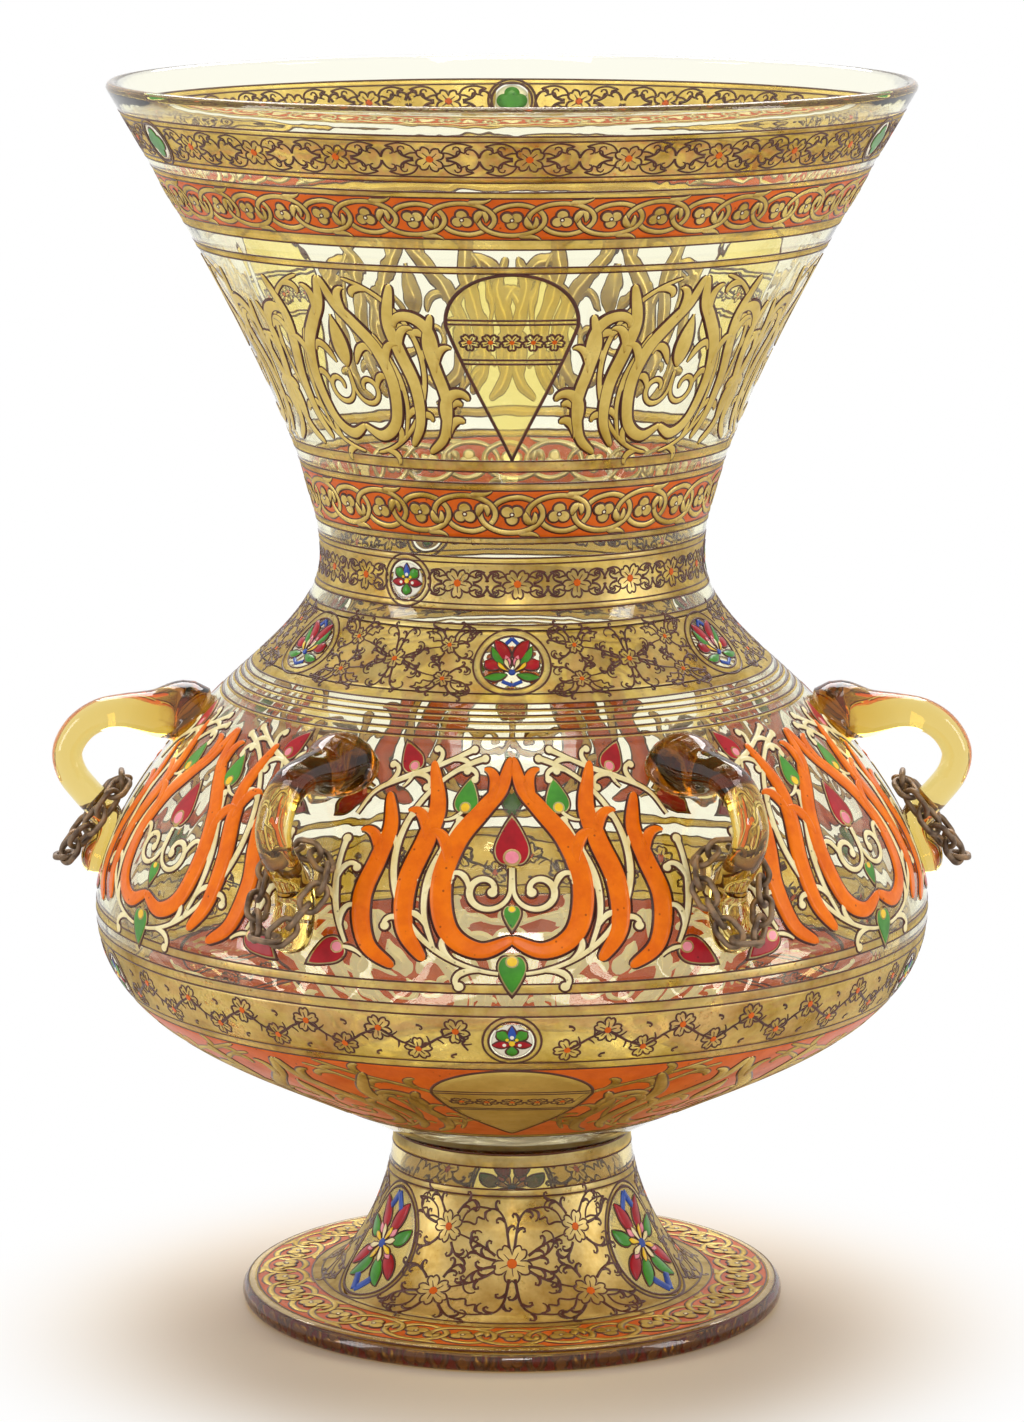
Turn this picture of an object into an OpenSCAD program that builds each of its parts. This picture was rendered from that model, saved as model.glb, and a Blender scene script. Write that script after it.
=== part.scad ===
// Mosque lamp: a blown glass vessel with a flared mouth, welded onto a hollow
// bell-shaped foot. Six drawn glass handles sit on the shoulder, and each one
// carries a closed loop of iron chain for hanging.
// Millimetres, +Z up. The origin is the centre of the plane that the foot rests on.

/* [Heights] */
// Height of the foot, from the resting plane to the weld under the vessel
foot_h = 49.6; // [40:0.1:60]
// Rise from the weld to the widest part of the belly
bowl_h = 64.4; // [58:0.1:75]
// Rise from the widest part of the belly to the throat
shoulder_h = 97; // [88:0.5:110]
// Rise from the throat to the top of the rim
neck_h = 129; // [100:1:160]

/* [Vessel] */
// Outer radius of the rim
rim_r = 109.4; // [95:0.1:125]
// Outer radius of the throat
throat_r = 52.5; // [44:0.5:58]
// Outer radius of the belly
belly_r = 114.9; // [108:0.1:122]
// Radius of the weld between the vessel and the foot
weld_r = 33; // [28:0.5:36]
// Thickness of the blown wall
wall_t = 3; // [2:0.1:4]
// Thickness of the vessel's floor
floor_t = 4; // [3.6:0.1:6]

/* [Vessel curve] */
// Angle between the mouth's edge and the vertical
flare_angle = 30.4; // [24:0.2:36]
// Length over which the mouth keeps that angle
flare_hold = 54; // [40:1:65]
// Length over which the throat keeps upright, above its narrowest part
throat_hold = 27; // [18:1:36]
// Radius at which the shoulder turns from hollow to full
turn_r = 74.8; // [68:0.1:80]
// Drop from the throat to that turn
turn_drop = 32.4; // [28:0.1:37]
// Slope of the shoulder at that turn
turn_angle = 42.3; // [37:0.1:48]
// Slope of the underside where it meets the weld
bowl_angle = 30.8; // [26:0.1:35]
// Length over which the throat keeps upright, below its narrowest part
hollow_hold = 13; // [10:0.5:16]
// Length over which the hollow of the shoulder keeps its slope above the turn
hollow_run = 11.6; // [9:0.2:14]
// Length over which the shoulder keeps its slope below the turn
full_run = 24; // [18:0.5:28]
// Length over which the belly keeps upright, above its widest part
full_hold = 22; // [16:0.5:28]
// Length over which the belly keeps upright, below its widest part
bowl_hold = 33.5; // [26:0.5:38]
// Length over which the underside keeps its slope above the weld
bowl_run = 44.4; // [36:0.2:50]

/* [Foot] */
// Outer radius of the foot
foot_r = 75.5; // [68:0.1:84]
// Radius at which the bell of the foot runs out into its brim
brim_r = 54; // [48:0.5:58]
// Height of the brim's top at that radius
brim_h = 7.3; // [7:0.1:9]
// Radius of the rounded lip round the brim
lip_r = 3.2; // [2.6:0.1:3.4]
// Thickness of the foot's wall
foot_wall_t = 3.2; // [2.4:0.1:3.6]
// Width of the flat ring that the foot rests on
rest_ring_w = 6; // [4:0.5:8]
// Length over which the foot's stem keeps upright under the weld
stem_hold = 21.6; // [16:0.2:26]
// Spread of the stem over that length
stem_spread = 0.8; // [0:0.1:2]
// Length over which the foot's bell runs out into the brim
bell_run = 7; // [5:0.5:10]
// Rise of the bell over that length
bell_rise = 1.4; // [0.6:0.1:3]

/* [Handles] */
// Height of a handle's arm above the widest part of the belly
arm_rise = 55; // [52:0.5:58]
// Distance from the shoulder to the outermost centreline of the handle
handle_reach = 35.4; // [33:0.2:38]
// Centreline radius of the handle's bend
bend_r = 13.7; // [12.5:0.1:15]
// Radius of the glass rod at the bend
rod_r = 5.6; // [5:0.1:6]
// Radius of the handle's root on the shoulder
root_r = 9.3; // [7:0.1:11]
// Radius of the leg that comes back to the belly
leg_r = 4.8; // [4:0.1:5]
// Length over which the rod narrows to the leg
leg_taper = 6; // [4:0.5:8]
// Lean of the leg from the vertical
leg_lean = 33; // [30:0.5:36]
// Drop from the leg's end to the tip of its curl
curl_drop = 7.5; // [6:0.1:9]
// Distance of the curl tip's centre from the belly
curl_out = 1.8; // [1:0.1:2.4]
// Fullness of a swelling over the bar that runs into it
swell = 0.2; // [0.1:0.05:0.4]
// Length by which a bar runs into the bend
bar_sink = 2; // [1:0.1:3]
// Gap left for the weld between a handle and the vessel
weld_gap = 0.05; // [0.02:0.01:0.2]

/* [Chains] */
// Diameter of the iron wire
wire_d = 1.6; // [1.2:0.05:1.7]
// Clear width inside a link
link_bore_w = 3.6; // [3.4:0.05:4]
// Slack of a link over its pitch
link_slack = 0.6; // [0.5:0.05:0.8]
// Gap between the chain's centreline and the leg that it goes round
chain_gap = 4.4; // [4.2:0.1:5]
// Radius of the loop's lower end
loop_end_r = 5.5; // [5.4:0.1:6.5]
// Distance between the centres of the loop's two ends
loop_l = 12.8; // [12:0.1:14]
// Distance of the loop's seat down the leg
chain_seat = 9; // [8:0.1:9.5]
// Turn of a link out of the loop's plane
link_roll = 45; // [40:1:50]
// Angle below the horizontal at which each loop hangs
chain_tilts = [51, 53, 52, 50, 53, 52]; // [48:1:54]
// Angle by which each loop has swung round its leg
chain_swings = [7, 5, 4, -6, 6, -4]; // [-8:1:8]

/* [Hidden] */
$fn = 48;
// Steps of each curve of the outline
steps = 12;
link_count = 12;
handle_count = len(chain_tilts);
// Links from the seat, on either side, in the first and the second part of a loop
seat_reach = 2;
side_reach = 4;

belly_z = foot_h + bowl_h;
throat_z = belly_z + shoulder_h;
lamp_h = throat_z + neck_h;
arm_z = belly_z + arm_rise;

// Curves of the outline, as control points of radius and height
rim_c = [rim_r - wall_t / 2, lamp_h - wall_t / 2];
rim_out = rim_c + wall_t / 2 * [cos(flare_angle), -sin(flare_angle)];
throat = [throat_r, throat_z];
turn = [turn_r, throat_z - turn_drop];
belly = [belly_r, belly_z];
weld = [weld_r, foot_h];
turn_dir = [cos(turn_angle), -sin(turn_angle)];
mouth_curve = [
    rim_out,
    rim_out - flare_hold * [sin(flare_angle), cos(flare_angle)],
    throat + [0, throat_hold],
    throat
];
hollow_curve = [
    throat,
    throat - [0, hollow_hold],
    turn - hollow_run * turn_dir,
    turn
];
full_curve = [
    turn,
    turn + full_run * turn_dir,
    belly + [0, full_hold],
    belly
];
bowl_curve = [
    belly,
    belly - [0, bowl_hold],
    weld + bowl_run * [cos(bowl_angle), sin(bowl_angle)],
    weld
];
vessel_curves = [mouth_curve, hollow_curve, full_curve, bowl_curve];
brim = [brim_r, brim_h];
foot_curve = [weld, weld + [stem_spread, -stem_hold], brim + [-bell_run, bell_rise], brim];

function bezier(c, t) = pow(1 - t, 3) * c[0] + 3 * pow(1 - t, 2) * t * c[1]
    + 3 * (1 - t) * t * t * c[2] + pow(t, 3) * c[3];
function bezier_dir(c, t) = pow(1 - t, 2) * (c[1] - c[0])
    + 2 * (1 - t) * t * (c[2] - c[1]) + t * t * (c[3] - c[2]);
function inward(v) = [v[1], -v[0]] / norm(v);
// Points of curves run end to end, moved towards the axis by a depth
function outline(curves, depth) = [
    for (i = [0 : len(curves) - 1])
        for (k = [(i == 0 ? 0 : 1) : steps])
            bezier(curves[i], k / steps) + depth * inward(bezier_dir(curves[i], k / steps))
];
function backwards(list) = [for (i = [len(list) - 1 : -1 : 0]) list[i]];
function arc(centre, radius, from, to, n) = [
    for (k = [0 : n])
        centre + radius * [cos(from + (to - from) * k / n), sin(from + (to - from) * k / n)]
];

vessel_outside = outline(vessel_curves, 0);
// Outer radius of the vessel at a height
function body_r(z) = lookup(z, [for (p = backwards(vessel_outside)) [p[1], p[0]]]);

// Centreline of a handle in its own upright plane, as radius and height
bend_c = [body_r(arm_z) + handle_reach - bend_r, arm_z - bend_r];
leg_dir = [-sin(leg_lean), -cos(leg_lean)];
leg_top = bend_c + bend_r * [cos(leg_lean), -sin(leg_lean)];
function leg_point(d) = leg_top + d * leg_dir;
// First distance down the leg at which its centreline reaches the belly
function leg_reach(d) = leg_point(d)[0] <= body_r(leg_point(d)[1]) ? d : leg_reach(d + 0.1);
leg_l = leg_reach(leg_taper);
leg_end = leg_point(leg_l);
curl_z = leg_end[1] - curl_drop;
curl_tip = [body_r(curl_z) + curl_out, curl_z];

// Loop of chain: a round end about the leg, two straight sides and a smaller lower end
loop_seat_r = leg_r + chain_gap;
loop_cone = asin((loop_seat_r - loop_end_r) / loop_l);
seat_arc = (90 + loop_cone) * PI / 180 * loop_seat_r;
side_l = loop_l * cos(loop_cone);
end_arc = (90 - loop_cone) * PI / 180 * loop_end_r;
pitch = 2 * (seat_arc + side_l + end_arc) / link_count;
link_mid_w = link_bore_w + wire_d;
link_straight = pitch + link_slack + wire_d - link_mid_w;
seat = leg_point(chain_seat);

// Point of the loop at a distance from the middle of its seat, on the +Y side
function loop_side(s) =
    s <= seat_arc ? loop_seat_r * [-cos(s / loop_seat_r * 180 / PI), sin(s / loop_seat_r * 180 / PI)]
    : s <= seat_arc + side_l ? loop_seat_r * [sin(loop_cone), cos(loop_cone)]
        + (s - seat_arc) * [cos(loop_cone), -sin(loop_cone)]
    : [loop_l, 0] + loop_end_r * [-cos(end_turn(s)), sin(end_turn(s))];
function end_turn(s) = 90 + loop_cone + (s - seat_arc - side_l) / loop_end_r * 180 / PI;
function loop_point(k) = k <= link_count / 2 ? loop_side(k * pitch)
    : [loop_side((link_count - k) * pitch)[0], -loop_side((link_count - k) * pitch)[1]];
// Where link k hooks into the next one
function hook(k) = k < 0 ? [loop_point(-k - 0.5)[0], -loop_point(-k - 0.5)[1]]
    : loop_point(k + 0.5);
function from_seat(k) = min(k, link_count - k);

// Blown vessel: mouth, throat, shoulder, belly and closed floor in one wall
module vessel() {
    lip = arc(rim_c, wall_t / 2, 180 - flare_angle, -flare_angle, 6);
    inside = outline(vessel_curves, wall_t);
    color("honeydew", 0.5)
        rotate_extrude()
            polygon(concat(
                lip,
                [for (i = [1 : len(vessel_outside) - 1]) vessel_outside[i]],
                [[0, foot_h], [0, foot_h + floor_t]],
                [for (i = [len(inside) - 1 : -1 : 1]) [inside[i][0], max(inside[i][1], foot_h + floor_t)]]
            ));
}

// Bell-shaped foot, hollow below, with a rounded lip and a ground resting ring
module foot() {
    rest_in = foot_r - lip_r - rest_ring_w;
    hollow = [for (p = backwards(outline([foot_curve], foot_wall_t))) if (p[1] < foot_h) p];
    color("palegoldenrod", 0.5)
        rotate_extrude()
            polygon(concat(
                outline([foot_curve], 0),
                arc([foot_r - lip_r, lip_r], lip_r, 90, -90, 8),
                [[rest_in, 0], [rest_in - lip_r, brim_h - foot_wall_t]],
                hollow,
                [[weld_r - foot_wall_t, foot_h]]
            ));
}

// Space taken up by the vessel and its welds
module vessel_space() {
    rotate_extrude()
        polygon(concat(
            [[0, lamp_h]],
            outline(vessel_curves, -weld_gap),
            [[0, foot_h]]
        ));
}

// Straight round bar between two points of a handle's plane
module bar(from, to, from_r, to_r) {
    along = to - from;
    translate([from[0], 0, from[1]])
        rotate([0, 90 - atan2(along[1], along[0]), 0])
            cylinder(h = norm(along), r1 = from_r, r2 = to_r);
}

module ball(at, radius) {
    translate([at[0], 0, at[1]])
        sphere(r = radius);
}

// Place something made in the upright plane of handle i
module at_handle(i) {
    rotate([0, 0, (i - 3) * 360 / handle_count])
        children();
}

// Drawn rod: wide root, arm, bend, leg and the curl where it was broken off
module handle(i) {
    root = [body_r(arm_z) - root_r, arm_z];
    color("khaki", 0.7)
        at_handle(i)
            difference() {
                union() {
                    bar(root, [bend_c[0] + bar_sink, arm_z], root_r, rod_r - swell);
                    translate([bend_c[0], 0, bend_c[1]])
                        rotate([90, 0, 0])
                            rotate([0, 0, -leg_lean])
                                rotate_extrude(angle = 90 + leg_lean)
                                    translate([bend_r, 0])
                                        circle(r = rod_r);
                    bar(leg_point(-bar_sink), leg_point(leg_taper), rod_r - swell, leg_r - swell);
                    bar(leg_point(0), leg_end, leg_r, leg_r);
                    ball(leg_end, leg_r + swell);
                    bar(leg_end, curl_tip, leg_r, leg_r);
                    ball(curl_tip, leg_r + swell);
                }
                rotate([0, 0, -(i - 3) * 360 / handle_count])
                    vessel_space();
            }
}

// One oval link of bent wire, lying in XY with its length along X
module link() {
    for (side = [-1, 1]) {
        translate([-link_straight / 2, side * link_mid_w / 2, 0])
            rotate([0, 90, 0])
                cylinder(d = wire_d, h = link_straight);
        translate([side * link_straight / 2, 0, 0])
            rotate([0, 0, -90 * side])
                rotate_extrude(angle = 180)
                    translate([link_mid_w / 2, 0])
                        circle(d = wire_d);
    }
}

// Links of the loop on handle i that lie this many links from the seat
module chain_links(i, nearest, furthest) {
    color("saddlebrown")
        at_handle(i)
            translate([seat[0], 0, seat[1]])
                rotate(a = chain_swings[i - 1], v = [leg_dir[0], 0, leg_dir[1]])
                    rotate([0, chain_tilts[i - 1], 0])
                        for (k = [0 : link_count - 1])
                            if (from_seat(k) >= nearest && from_seat(k) <= furthest) {
                                middle = (hook(k - 1) + hook(k)) / 2;
                                along = hook(k) - hook(k - 1);
                                translate([middle[0], middle[1], 0])
                                    rotate([0, 0, atan2(along[1], along[0])])
                                        rotate([link_roll + 90 * from_seat(k), 0, 0])
                                            link();
                            }
}

module chain_seat_links(i) {
    chain_links(i, 0, seat_reach);
}

module chain_side_links(i) {
    chain_links(i, seat_reach + 1, side_reach);
}

module chain_end_links(i) {
    chain_links(i, side_reach + 1, link_count);
}

vessel();
foot();
for (i = [1 : handle_count]) {
    handle(i);
    chain_seat_links(i);
    chain_side_links(i);
    chain_end_links(i);
}
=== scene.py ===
# %% [markdown]
# # A gilded and enamelled mosque lamp
# The real lamp is one blown glass vessel on a blown foot, with six drawn glass handles and six short
# loops of iron chain. The frame already holds these pieces at their real size. This lesson gives them
# their finish: clear glass, gold, coloured enamel, brown line drawing and rusty iron.
# Blender measures in metres, but a glass painter thinks in millimetres, so sizes below are millimetres.

# %% Load the frame
import math

import bpy
import numpy as np
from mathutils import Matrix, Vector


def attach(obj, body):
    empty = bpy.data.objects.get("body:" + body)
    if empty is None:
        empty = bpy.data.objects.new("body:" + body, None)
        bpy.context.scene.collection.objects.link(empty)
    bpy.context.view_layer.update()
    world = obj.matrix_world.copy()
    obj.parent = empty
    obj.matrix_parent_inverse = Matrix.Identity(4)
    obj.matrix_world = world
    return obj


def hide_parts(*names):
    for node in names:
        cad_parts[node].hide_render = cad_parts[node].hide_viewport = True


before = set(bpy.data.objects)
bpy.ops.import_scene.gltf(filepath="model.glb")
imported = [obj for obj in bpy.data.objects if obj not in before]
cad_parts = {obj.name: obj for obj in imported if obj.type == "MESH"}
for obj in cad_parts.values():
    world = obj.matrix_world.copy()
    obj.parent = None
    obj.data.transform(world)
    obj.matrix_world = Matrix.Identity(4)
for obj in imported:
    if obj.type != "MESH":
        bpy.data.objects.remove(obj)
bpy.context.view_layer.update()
MM = 0.001

# %% [markdown]
# ## The camera
# The photograph was taken from a little above the lamp with a long lens, so that the foot and the mouth
# both show as flat ovals. A camera could be placed by eye, but its place was worked out from the width
# and the height of those ovals, and is written here as a distance, a height and a downward tilt.

# %% Camera
IMAGE_H = 1422
FOCAL_PIXELS = 5464.3
CAMERA_AWAY = 1480.5
CAMERA_UP = 437.6
CAMERA_TILT = 0.181

lens = bpy.data.cameras.new("photograph")
lens.sensor_width = 36
lens.lens = FOCAL_PIXELS * lens.sensor_width / IMAGE_H
lens.clip_start, lens.clip_end = 0.01, 50
camera = bpy.data.objects.new("photograph", lens)
camera.location = (0, -CAMERA_AWAY * MM, CAMERA_UP * MM)
camera.rotation_euler = (math.pi / 2 - CAMERA_TILT, 0, 0)
bpy.context.scene.collection.objects.link(camera)
bpy.context.scene.camera = camera
print("lens", round(lens.lens, 1), "mm")

# %% [markdown]
# ## Building materials with nodes
# Every material here is a small tree of nodes. The trees could be built by hand in the shader editor, but
# a script can repeat them. A few helpers keep it short: one sets or links the inputs of a node, one adds
# a node, one starts a material with its Principled shader, and one starts a node group whose outputs can
# be used by several materials.

# %% Node helpers
def dress(tree, node, inputs):
    """Gives each input of a node its value, or a link if the value is an output of another node."""
    for key, value in inputs.items():
        if isinstance(value, bpy.types.NodeSocket):
            tree.links.new(value, node.inputs[key])
        else:
            node.inputs[key].default_value = value


def add_node(tree, kind, inputs=None, **settings):
    node = tree.nodes.new("ShaderNode" + kind)
    for key, value in settings.items():
        setattr(node, key, value)
    dress(tree, node, inputs or {})
    return node


def new_material(name):
    material = bpy.data.materials.new(name)
    material.use_nodes = True
    tree = material.node_tree
    return material, tree, tree.nodes["Principled BSDF"], tree.nodes["Material Output"]


def new_group(name, inputs, outputs):
    group = bpy.data.node_groups.new(name, "ShaderNodeTree")
    for label, kind, value in inputs:
        socket = group.interface.new_socket(label, in_out="INPUT", socket_type="NodeSocket" + kind)
        socket.default_value = value
    for label, kind in outputs:
        group.interface.new_socket(label, in_out="OUTPUT", socket_type="NodeSocket" + kind)
    return group, group.nodes.new("NodeGroupInput"), group.nodes.new("NodeGroupOutput")


def use_group(tree, group, **values):
    node = tree.nodes.new("ShaderNodeGroup")
    node.node_tree = group
    dress(tree, node, {label.replace("_", " "): value for label, value in values.items()})
    return node


def bump(tree, height, strength, distance_mm):
    return add_node(tree, "Bump", {"Strength": strength, "Distance": distance_mm * MM, "Height": height})


print("node helpers are ready")

# %% [markdown]
# ## Studio floor, backdrop and light
# The lamp stands on a pale sweep of paper that runs into a white background. The floor is a plain
# diffuse surface near the lamp, so that it keeps the shadow, and turns into plain white further out.
# Near the lamp its colour is a dark warm tone round a centre a little in front of the foot: painted
# shade that deepens the shadow round and in front of the foot.
# Camera, glossy and transmission rays see that white; other rays see ordinary paper, so the white adds
# no light of its own. Five soft lamps and a low ambient level light the glass.

# %% Stage
FLOOR_GAP = 0.05
FLOOR_HALF = 6000
# Painted shade: dark warm paper round a centre in front of the foot, fading to white between these distances
FADE_START, FADE_END = 72, 172
SHADE_CENTRE = (0, -26, 0)
SHADED_PAPER = (0.71, 0.63, 0.515, 1)
WHITE = (1, 1, 1, 1)


def seen_directly(tree):
    """1 for rays that show the background to the camera, by themselves or through glass and gloss."""
    path = add_node(tree, "LightPath")
    total = add_node(tree, "Math", {0: path.outputs["Is Camera Ray"],
                                    1: path.outputs["Is Glossy Ray"]}, operation="MAXIMUM")
    return add_node(tree, "Math", {0: total.outputs[0],
                                   1: path.outputs["Is Transmission Ray"]}, operation="MAXIMUM").outputs[0]


def shaded_paper_finish():
    material, tree, shader, output = new_material("floor_paper_painted_shade")
    dress(tree, shader, {"Base Color": SHADED_PAPER, "Roughness": 0.75, "Specular IOR Level": 0.1})
    place = add_node(tree, "TexCoord").outputs["Object"]
    middle = [v * MM for v in SHADE_CENTRE]
    # The painted shade fades out with the distance from its centre
    far = add_node(tree, "VectorMath", {0: place, 1: middle}, operation="DISTANCE").outputs["Value"]
    fade = add_node(tree, "MapRange", {"Value": far, "From Min": FADE_START * MM, "From Max": FADE_END * MM},
                    interpolation_type="SMOOTHERSTEP")
    share = add_node(tree, "Math", {0: fade.outputs[0], 1: seen_directly(tree)}, operation="MULTIPLY")
    plain = add_node(tree, "Emission", {"Color": WHITE, "Strength": 1.0})
    mix = add_node(tree, "MixShader", {0: share.outputs[0], 1: shader.outputs[0], 2: plain.outputs[0]})
    dress(tree, output, {"Surface": mix.outputs[0]})
    return material


corners = [(-FLOOR_HALF, -FLOOR_HALF), (FLOOR_HALF, -FLOOR_HALF), (FLOOR_HALF, FLOOR_HALF),
           (-FLOOR_HALF, FLOOR_HALF)]
floor_mesh = bpy.data.meshes.new("floor")
floor_mesh.from_pydata([(x * MM, y * MM, -FLOOR_GAP * MM) for x, y in corners], [], [(0, 1, 2, 3)])
floor_mesh.materials.append(shaded_paper_finish())
floor = bpy.data.objects.new("floor", floor_mesh)
bpy.context.scene.collection.objects.link(floor)
print("floor:", 2 * FLOOR_HALF * MM, "m wide, plain white from", FADE_END, "mm outwards")

# %% Light
AMBIENT = 0.38
SOFT_BOXES = {
    "back_window": dict(at=(0, 900, 1200), look=(0, 0, 120), size=(1300, 800), power=22),
    "overhead": dict(at=(0, -150, 1500), look=(0, 0, 170), size=(700, 500), power=5),
    "left_window": dict(at=(-1250, -450, 560), look=(0, 0, 170), size=(360, 900), power=6),
    "right_window": dict(at=(1250, -450, 560), look=(0, 0, 170), size=(360, 900), power=6),
    "front_fill": dict(at=(60, -1750, 800), look=(0, 0, 150), size=(380, 380), power=6),
}

world = bpy.data.worlds.new("studio")
bpy.context.scene.world = world
world.use_nodes = True
backdrop = world.node_tree.nodes["Background"]
level = add_node(world.node_tree, "MapRange", {"Value": seen_directly(world.node_tree), "To Min": AMBIENT})
dress(world.node_tree, backdrop, {"Strength": level.outputs[0], "Color": WHITE})

for label, box in SOFT_BOXES.items():
    light = bpy.data.lights.new(label, "AREA")
    light.shape = "RECTANGLE"
    light.size, light.size_y = (side * MM for side in box["size"])
    light.energy = box["power"]
    lamp = bpy.data.objects.new(label, light)
    at, look = (np.array(box[key]) * MM for key in ("at", "look"))
    lamp.location = at
    lamp.rotation_euler = Vector(look - at).to_track_quat("-Z", "Y").to_euler()
    bpy.context.scene.collection.objects.link(lamp)

# Light crosses many walls and films of paint on its way through the lamp
ALL_BOUNCES, GLASS_BOUNCES, FILM_BOUNCES = 20, 18, 24
cycles = bpy.context.scene.cycles
cycles.max_bounces = ALL_BOUNCES
cycles.transmission_bounces = GLASS_BOUNCES
cycles.transparent_max_bounces = FILM_BOUNCES
bpy.context.scene.view_settings.view_transform = "Standard"
print("soft boxes:", ", ".join(SOFT_BOXES))

# %% [markdown]
# ## The glass
# Blown soda glass is clear with a faint straw tint, and it is never quite even: the wall ripples where
# the bubble was turned, and long cords of slightly different glass run through it. A node group makes
# that ripple once, for the vessel, the foot and the handles, and another one browns the roots of the
# handles, where the gather picked up smoke. Tint in glass grows with its thickness, so it is given as
# absorption in the volume and not as a surface colour. Lamps have to reach the enamel on the far wall,
# so shadow and diffuse rays pass the glass as if it were a tinted window.

# %% Ripple of the glass
# Squash of the ripple from turning, stretch of the cords, and share of the cords in the relief
TURN_SQUASH, CORD_STRETCH, CORD_SHARE = 3.2, 0.22, 0.25


def make_ripple():
    group, inputs, outputs = new_group("blown_ripple", [("Turns", "Float", 18.0), ("Cords", "Float", 60.0)],
                                       [("Height", "Float")])
    place = add_node(group, "TexCoord").outputs["Object"]
    flat = add_node(group, "Mapping", {"Vector": place, "Scale": (1, 1, TURN_SQUASH)})
    wave = add_node(group, "TexNoise", {"Vector": flat.outputs[0], "Scale": inputs.outputs["Turns"],
                                        "Detail": 1.5, "Roughness": 0.4})
    tall = add_node(group, "Mapping", {"Vector": place, "Scale": (1, 1, CORD_STRETCH)})
    cord = add_node(group, "TexNoise", {"Vector": tall.outputs[0], "Scale": inputs.outputs["Cords"],
                                        "Detail": 2.0, "Distortion": 0.6})
    total = add_node(group, "Math", {0: cord.outputs[0], 1: CORD_SHARE, 2: wave.outputs[0]},
                     operation="MULTIPLY_ADD")
    dress(group, outputs, {"Height": total.outputs[0]})
    return group


ripple = make_ripple()
print("group:", ripple.name)

# %% Smoke in the handle roots
# Distance from the axis, swirl included, at which the smoke starts to clear and is gone, how much further
# out it lies on the front handles than on the back ones, and how far its edge swirls
SMOKE_IN, SMOKE_OUT = 95.5, 99.0
SMOKE_LEAN, SMOKE_SWIRL = 0.13, 9.0


def make_smoke():
    """Brown glass near the shoulder, where the gather picked up smoke, and clear glass further out."""
    group, inputs, outputs = new_group("smoky_root", [("Smoke", "Color", WHITE)], [("Colour", "Color")])
    place = add_node(group, "TexCoord").outputs["Object"]
    level = add_node(group, "VectorMath", {0: place, 1: (1, 1, 0)}, operation="MULTIPLY")
    far = add_node(group, "VectorMath", {0: level.outputs[0]}, operation="LENGTH").outputs["Value"]
    swirl = add_node(group, "TexNoise", {"Vector": place, "Scale": 130.0, "Detail": 3.0, "Distortion": 1.2})
    lean = add_node(group, "VectorMath", {0: place, 1: (0, SMOKE_LEAN, 0)}, operation="DOT_PRODUCT")
    reach = add_node(group, "Math", {0: far, 1: lean.outputs["Value"]})
    edge = add_node(group, "Math", {0: swirl.outputs[0], 1: SMOKE_SWIRL * MM, 2: reach.outputs[0]},
                    operation="MULTIPLY_ADD")
    share = add_node(group, "MapRange", {"Value": edge.outputs[0], "From Min": SMOKE_IN * MM,
                                         "From Max": SMOKE_OUT * MM, "To Min": 1.0, "To Max": 0.0})
    colour = add_node(group, "Mix", {"Factor": share.outputs[0], "A": WHITE, "B": inputs.outputs["Smoke"]},
                      data_type="RGBA")
    dress(group, outputs, {"Colour": colour.outputs["Result"]})
    return group


smoke = make_smoke()
print("group:", smoke.name)

# %% Glass finishes
GLASS_IOR, RIPPLE_STRENGTH = 1.47, 0.5


def glass_finish(name, tint, density, window, ripple_mm, smoky=None, **scales):
    material, tree, shader, output = new_material(name)
    height = use_group(tree, ripple, **scales).outputs["Height"]
    relief = bump(tree, height, RIPPLE_STRENGTH, ripple_mm)
    dress(tree, shader, {"Base Color": WHITE, "Roughness": 0.0, "IOR": GLASS_IOR, "Transmission Weight": 1.0,
                         "Normal": relief.outputs[0]})
    if smoky:
        dress(tree, shader, {"Base Color": use_group(tree, smoke, Smoke=smoky).outputs["Colour"]})
    path = add_node(tree, "LightPath")
    lets_by = add_node(tree, "Math", {0: path.outputs["Is Shadow Ray"], 1: path.outputs["Is Diffuse Ray"]},
                       operation="MAXIMUM")
    clear = add_node(tree, "BsdfTransparent", {"Color": window})
    mix = add_node(tree, "MixShader", {0: lets_by.outputs[0], 1: shader.outputs[0], 2: clear.outputs[0]})
    body = add_node(tree, "VolumeAbsorption", {"Color": tint, "Density": density})
    dress(tree, output, {"Surface": mix.outputs[0], "Volume": body.outputs[0]})
    return material


clear_glass = glass_finish("clear_glass", (0.93, 0.87, 0.2, 1), 62.0, (0.99, 0.985, 0.95, 1), 0.9)
foot_glass = glass_finish("foot_glass", (0.9, 0.74, 0.1, 1), 130.0, (0.94, 0.86, 0.6, 1), 0.12, Turns=26.0,
                          Cords=16.0)
handle_glass = glass_finish("handle_glass", (0.88, 0.73, 0.06, 1), 190.0, (0.93, 0.83, 0.52, 1), 0.3,
                            (0.38, 0.2, 0.06, 1), Turns=45.0, Cords=140.0)
print("glass finishes:", clear_glass.name, foot_glass.name, handle_glass.name)

# %% [markdown]
# ## Gold, enamel and line
# The gold was painted on as a paste and burnished after firing. It is so thin that light glows through
# it, and hands have rubbed it bare here and there. The enamels are soft opaque glass, fired in a kiln:
# each has small pits, and its colour drifts a little over the surface. A plain metal would look like
# foil and a plain colour like plastic. So one node group makes the drift with its pits, another one the
# rubbed places of the gold, and a part of the gold is a clear film that only tints the light.

# %% Kiln firing
# Inner and outer edge of a pit, darkness in it, and share of the drift in the relief
PIT_IN, PIT_OUT, PIT_DARKNESS, DRIFT_SHARE = 0.04, 0.12, 0.4, 0.5


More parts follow.
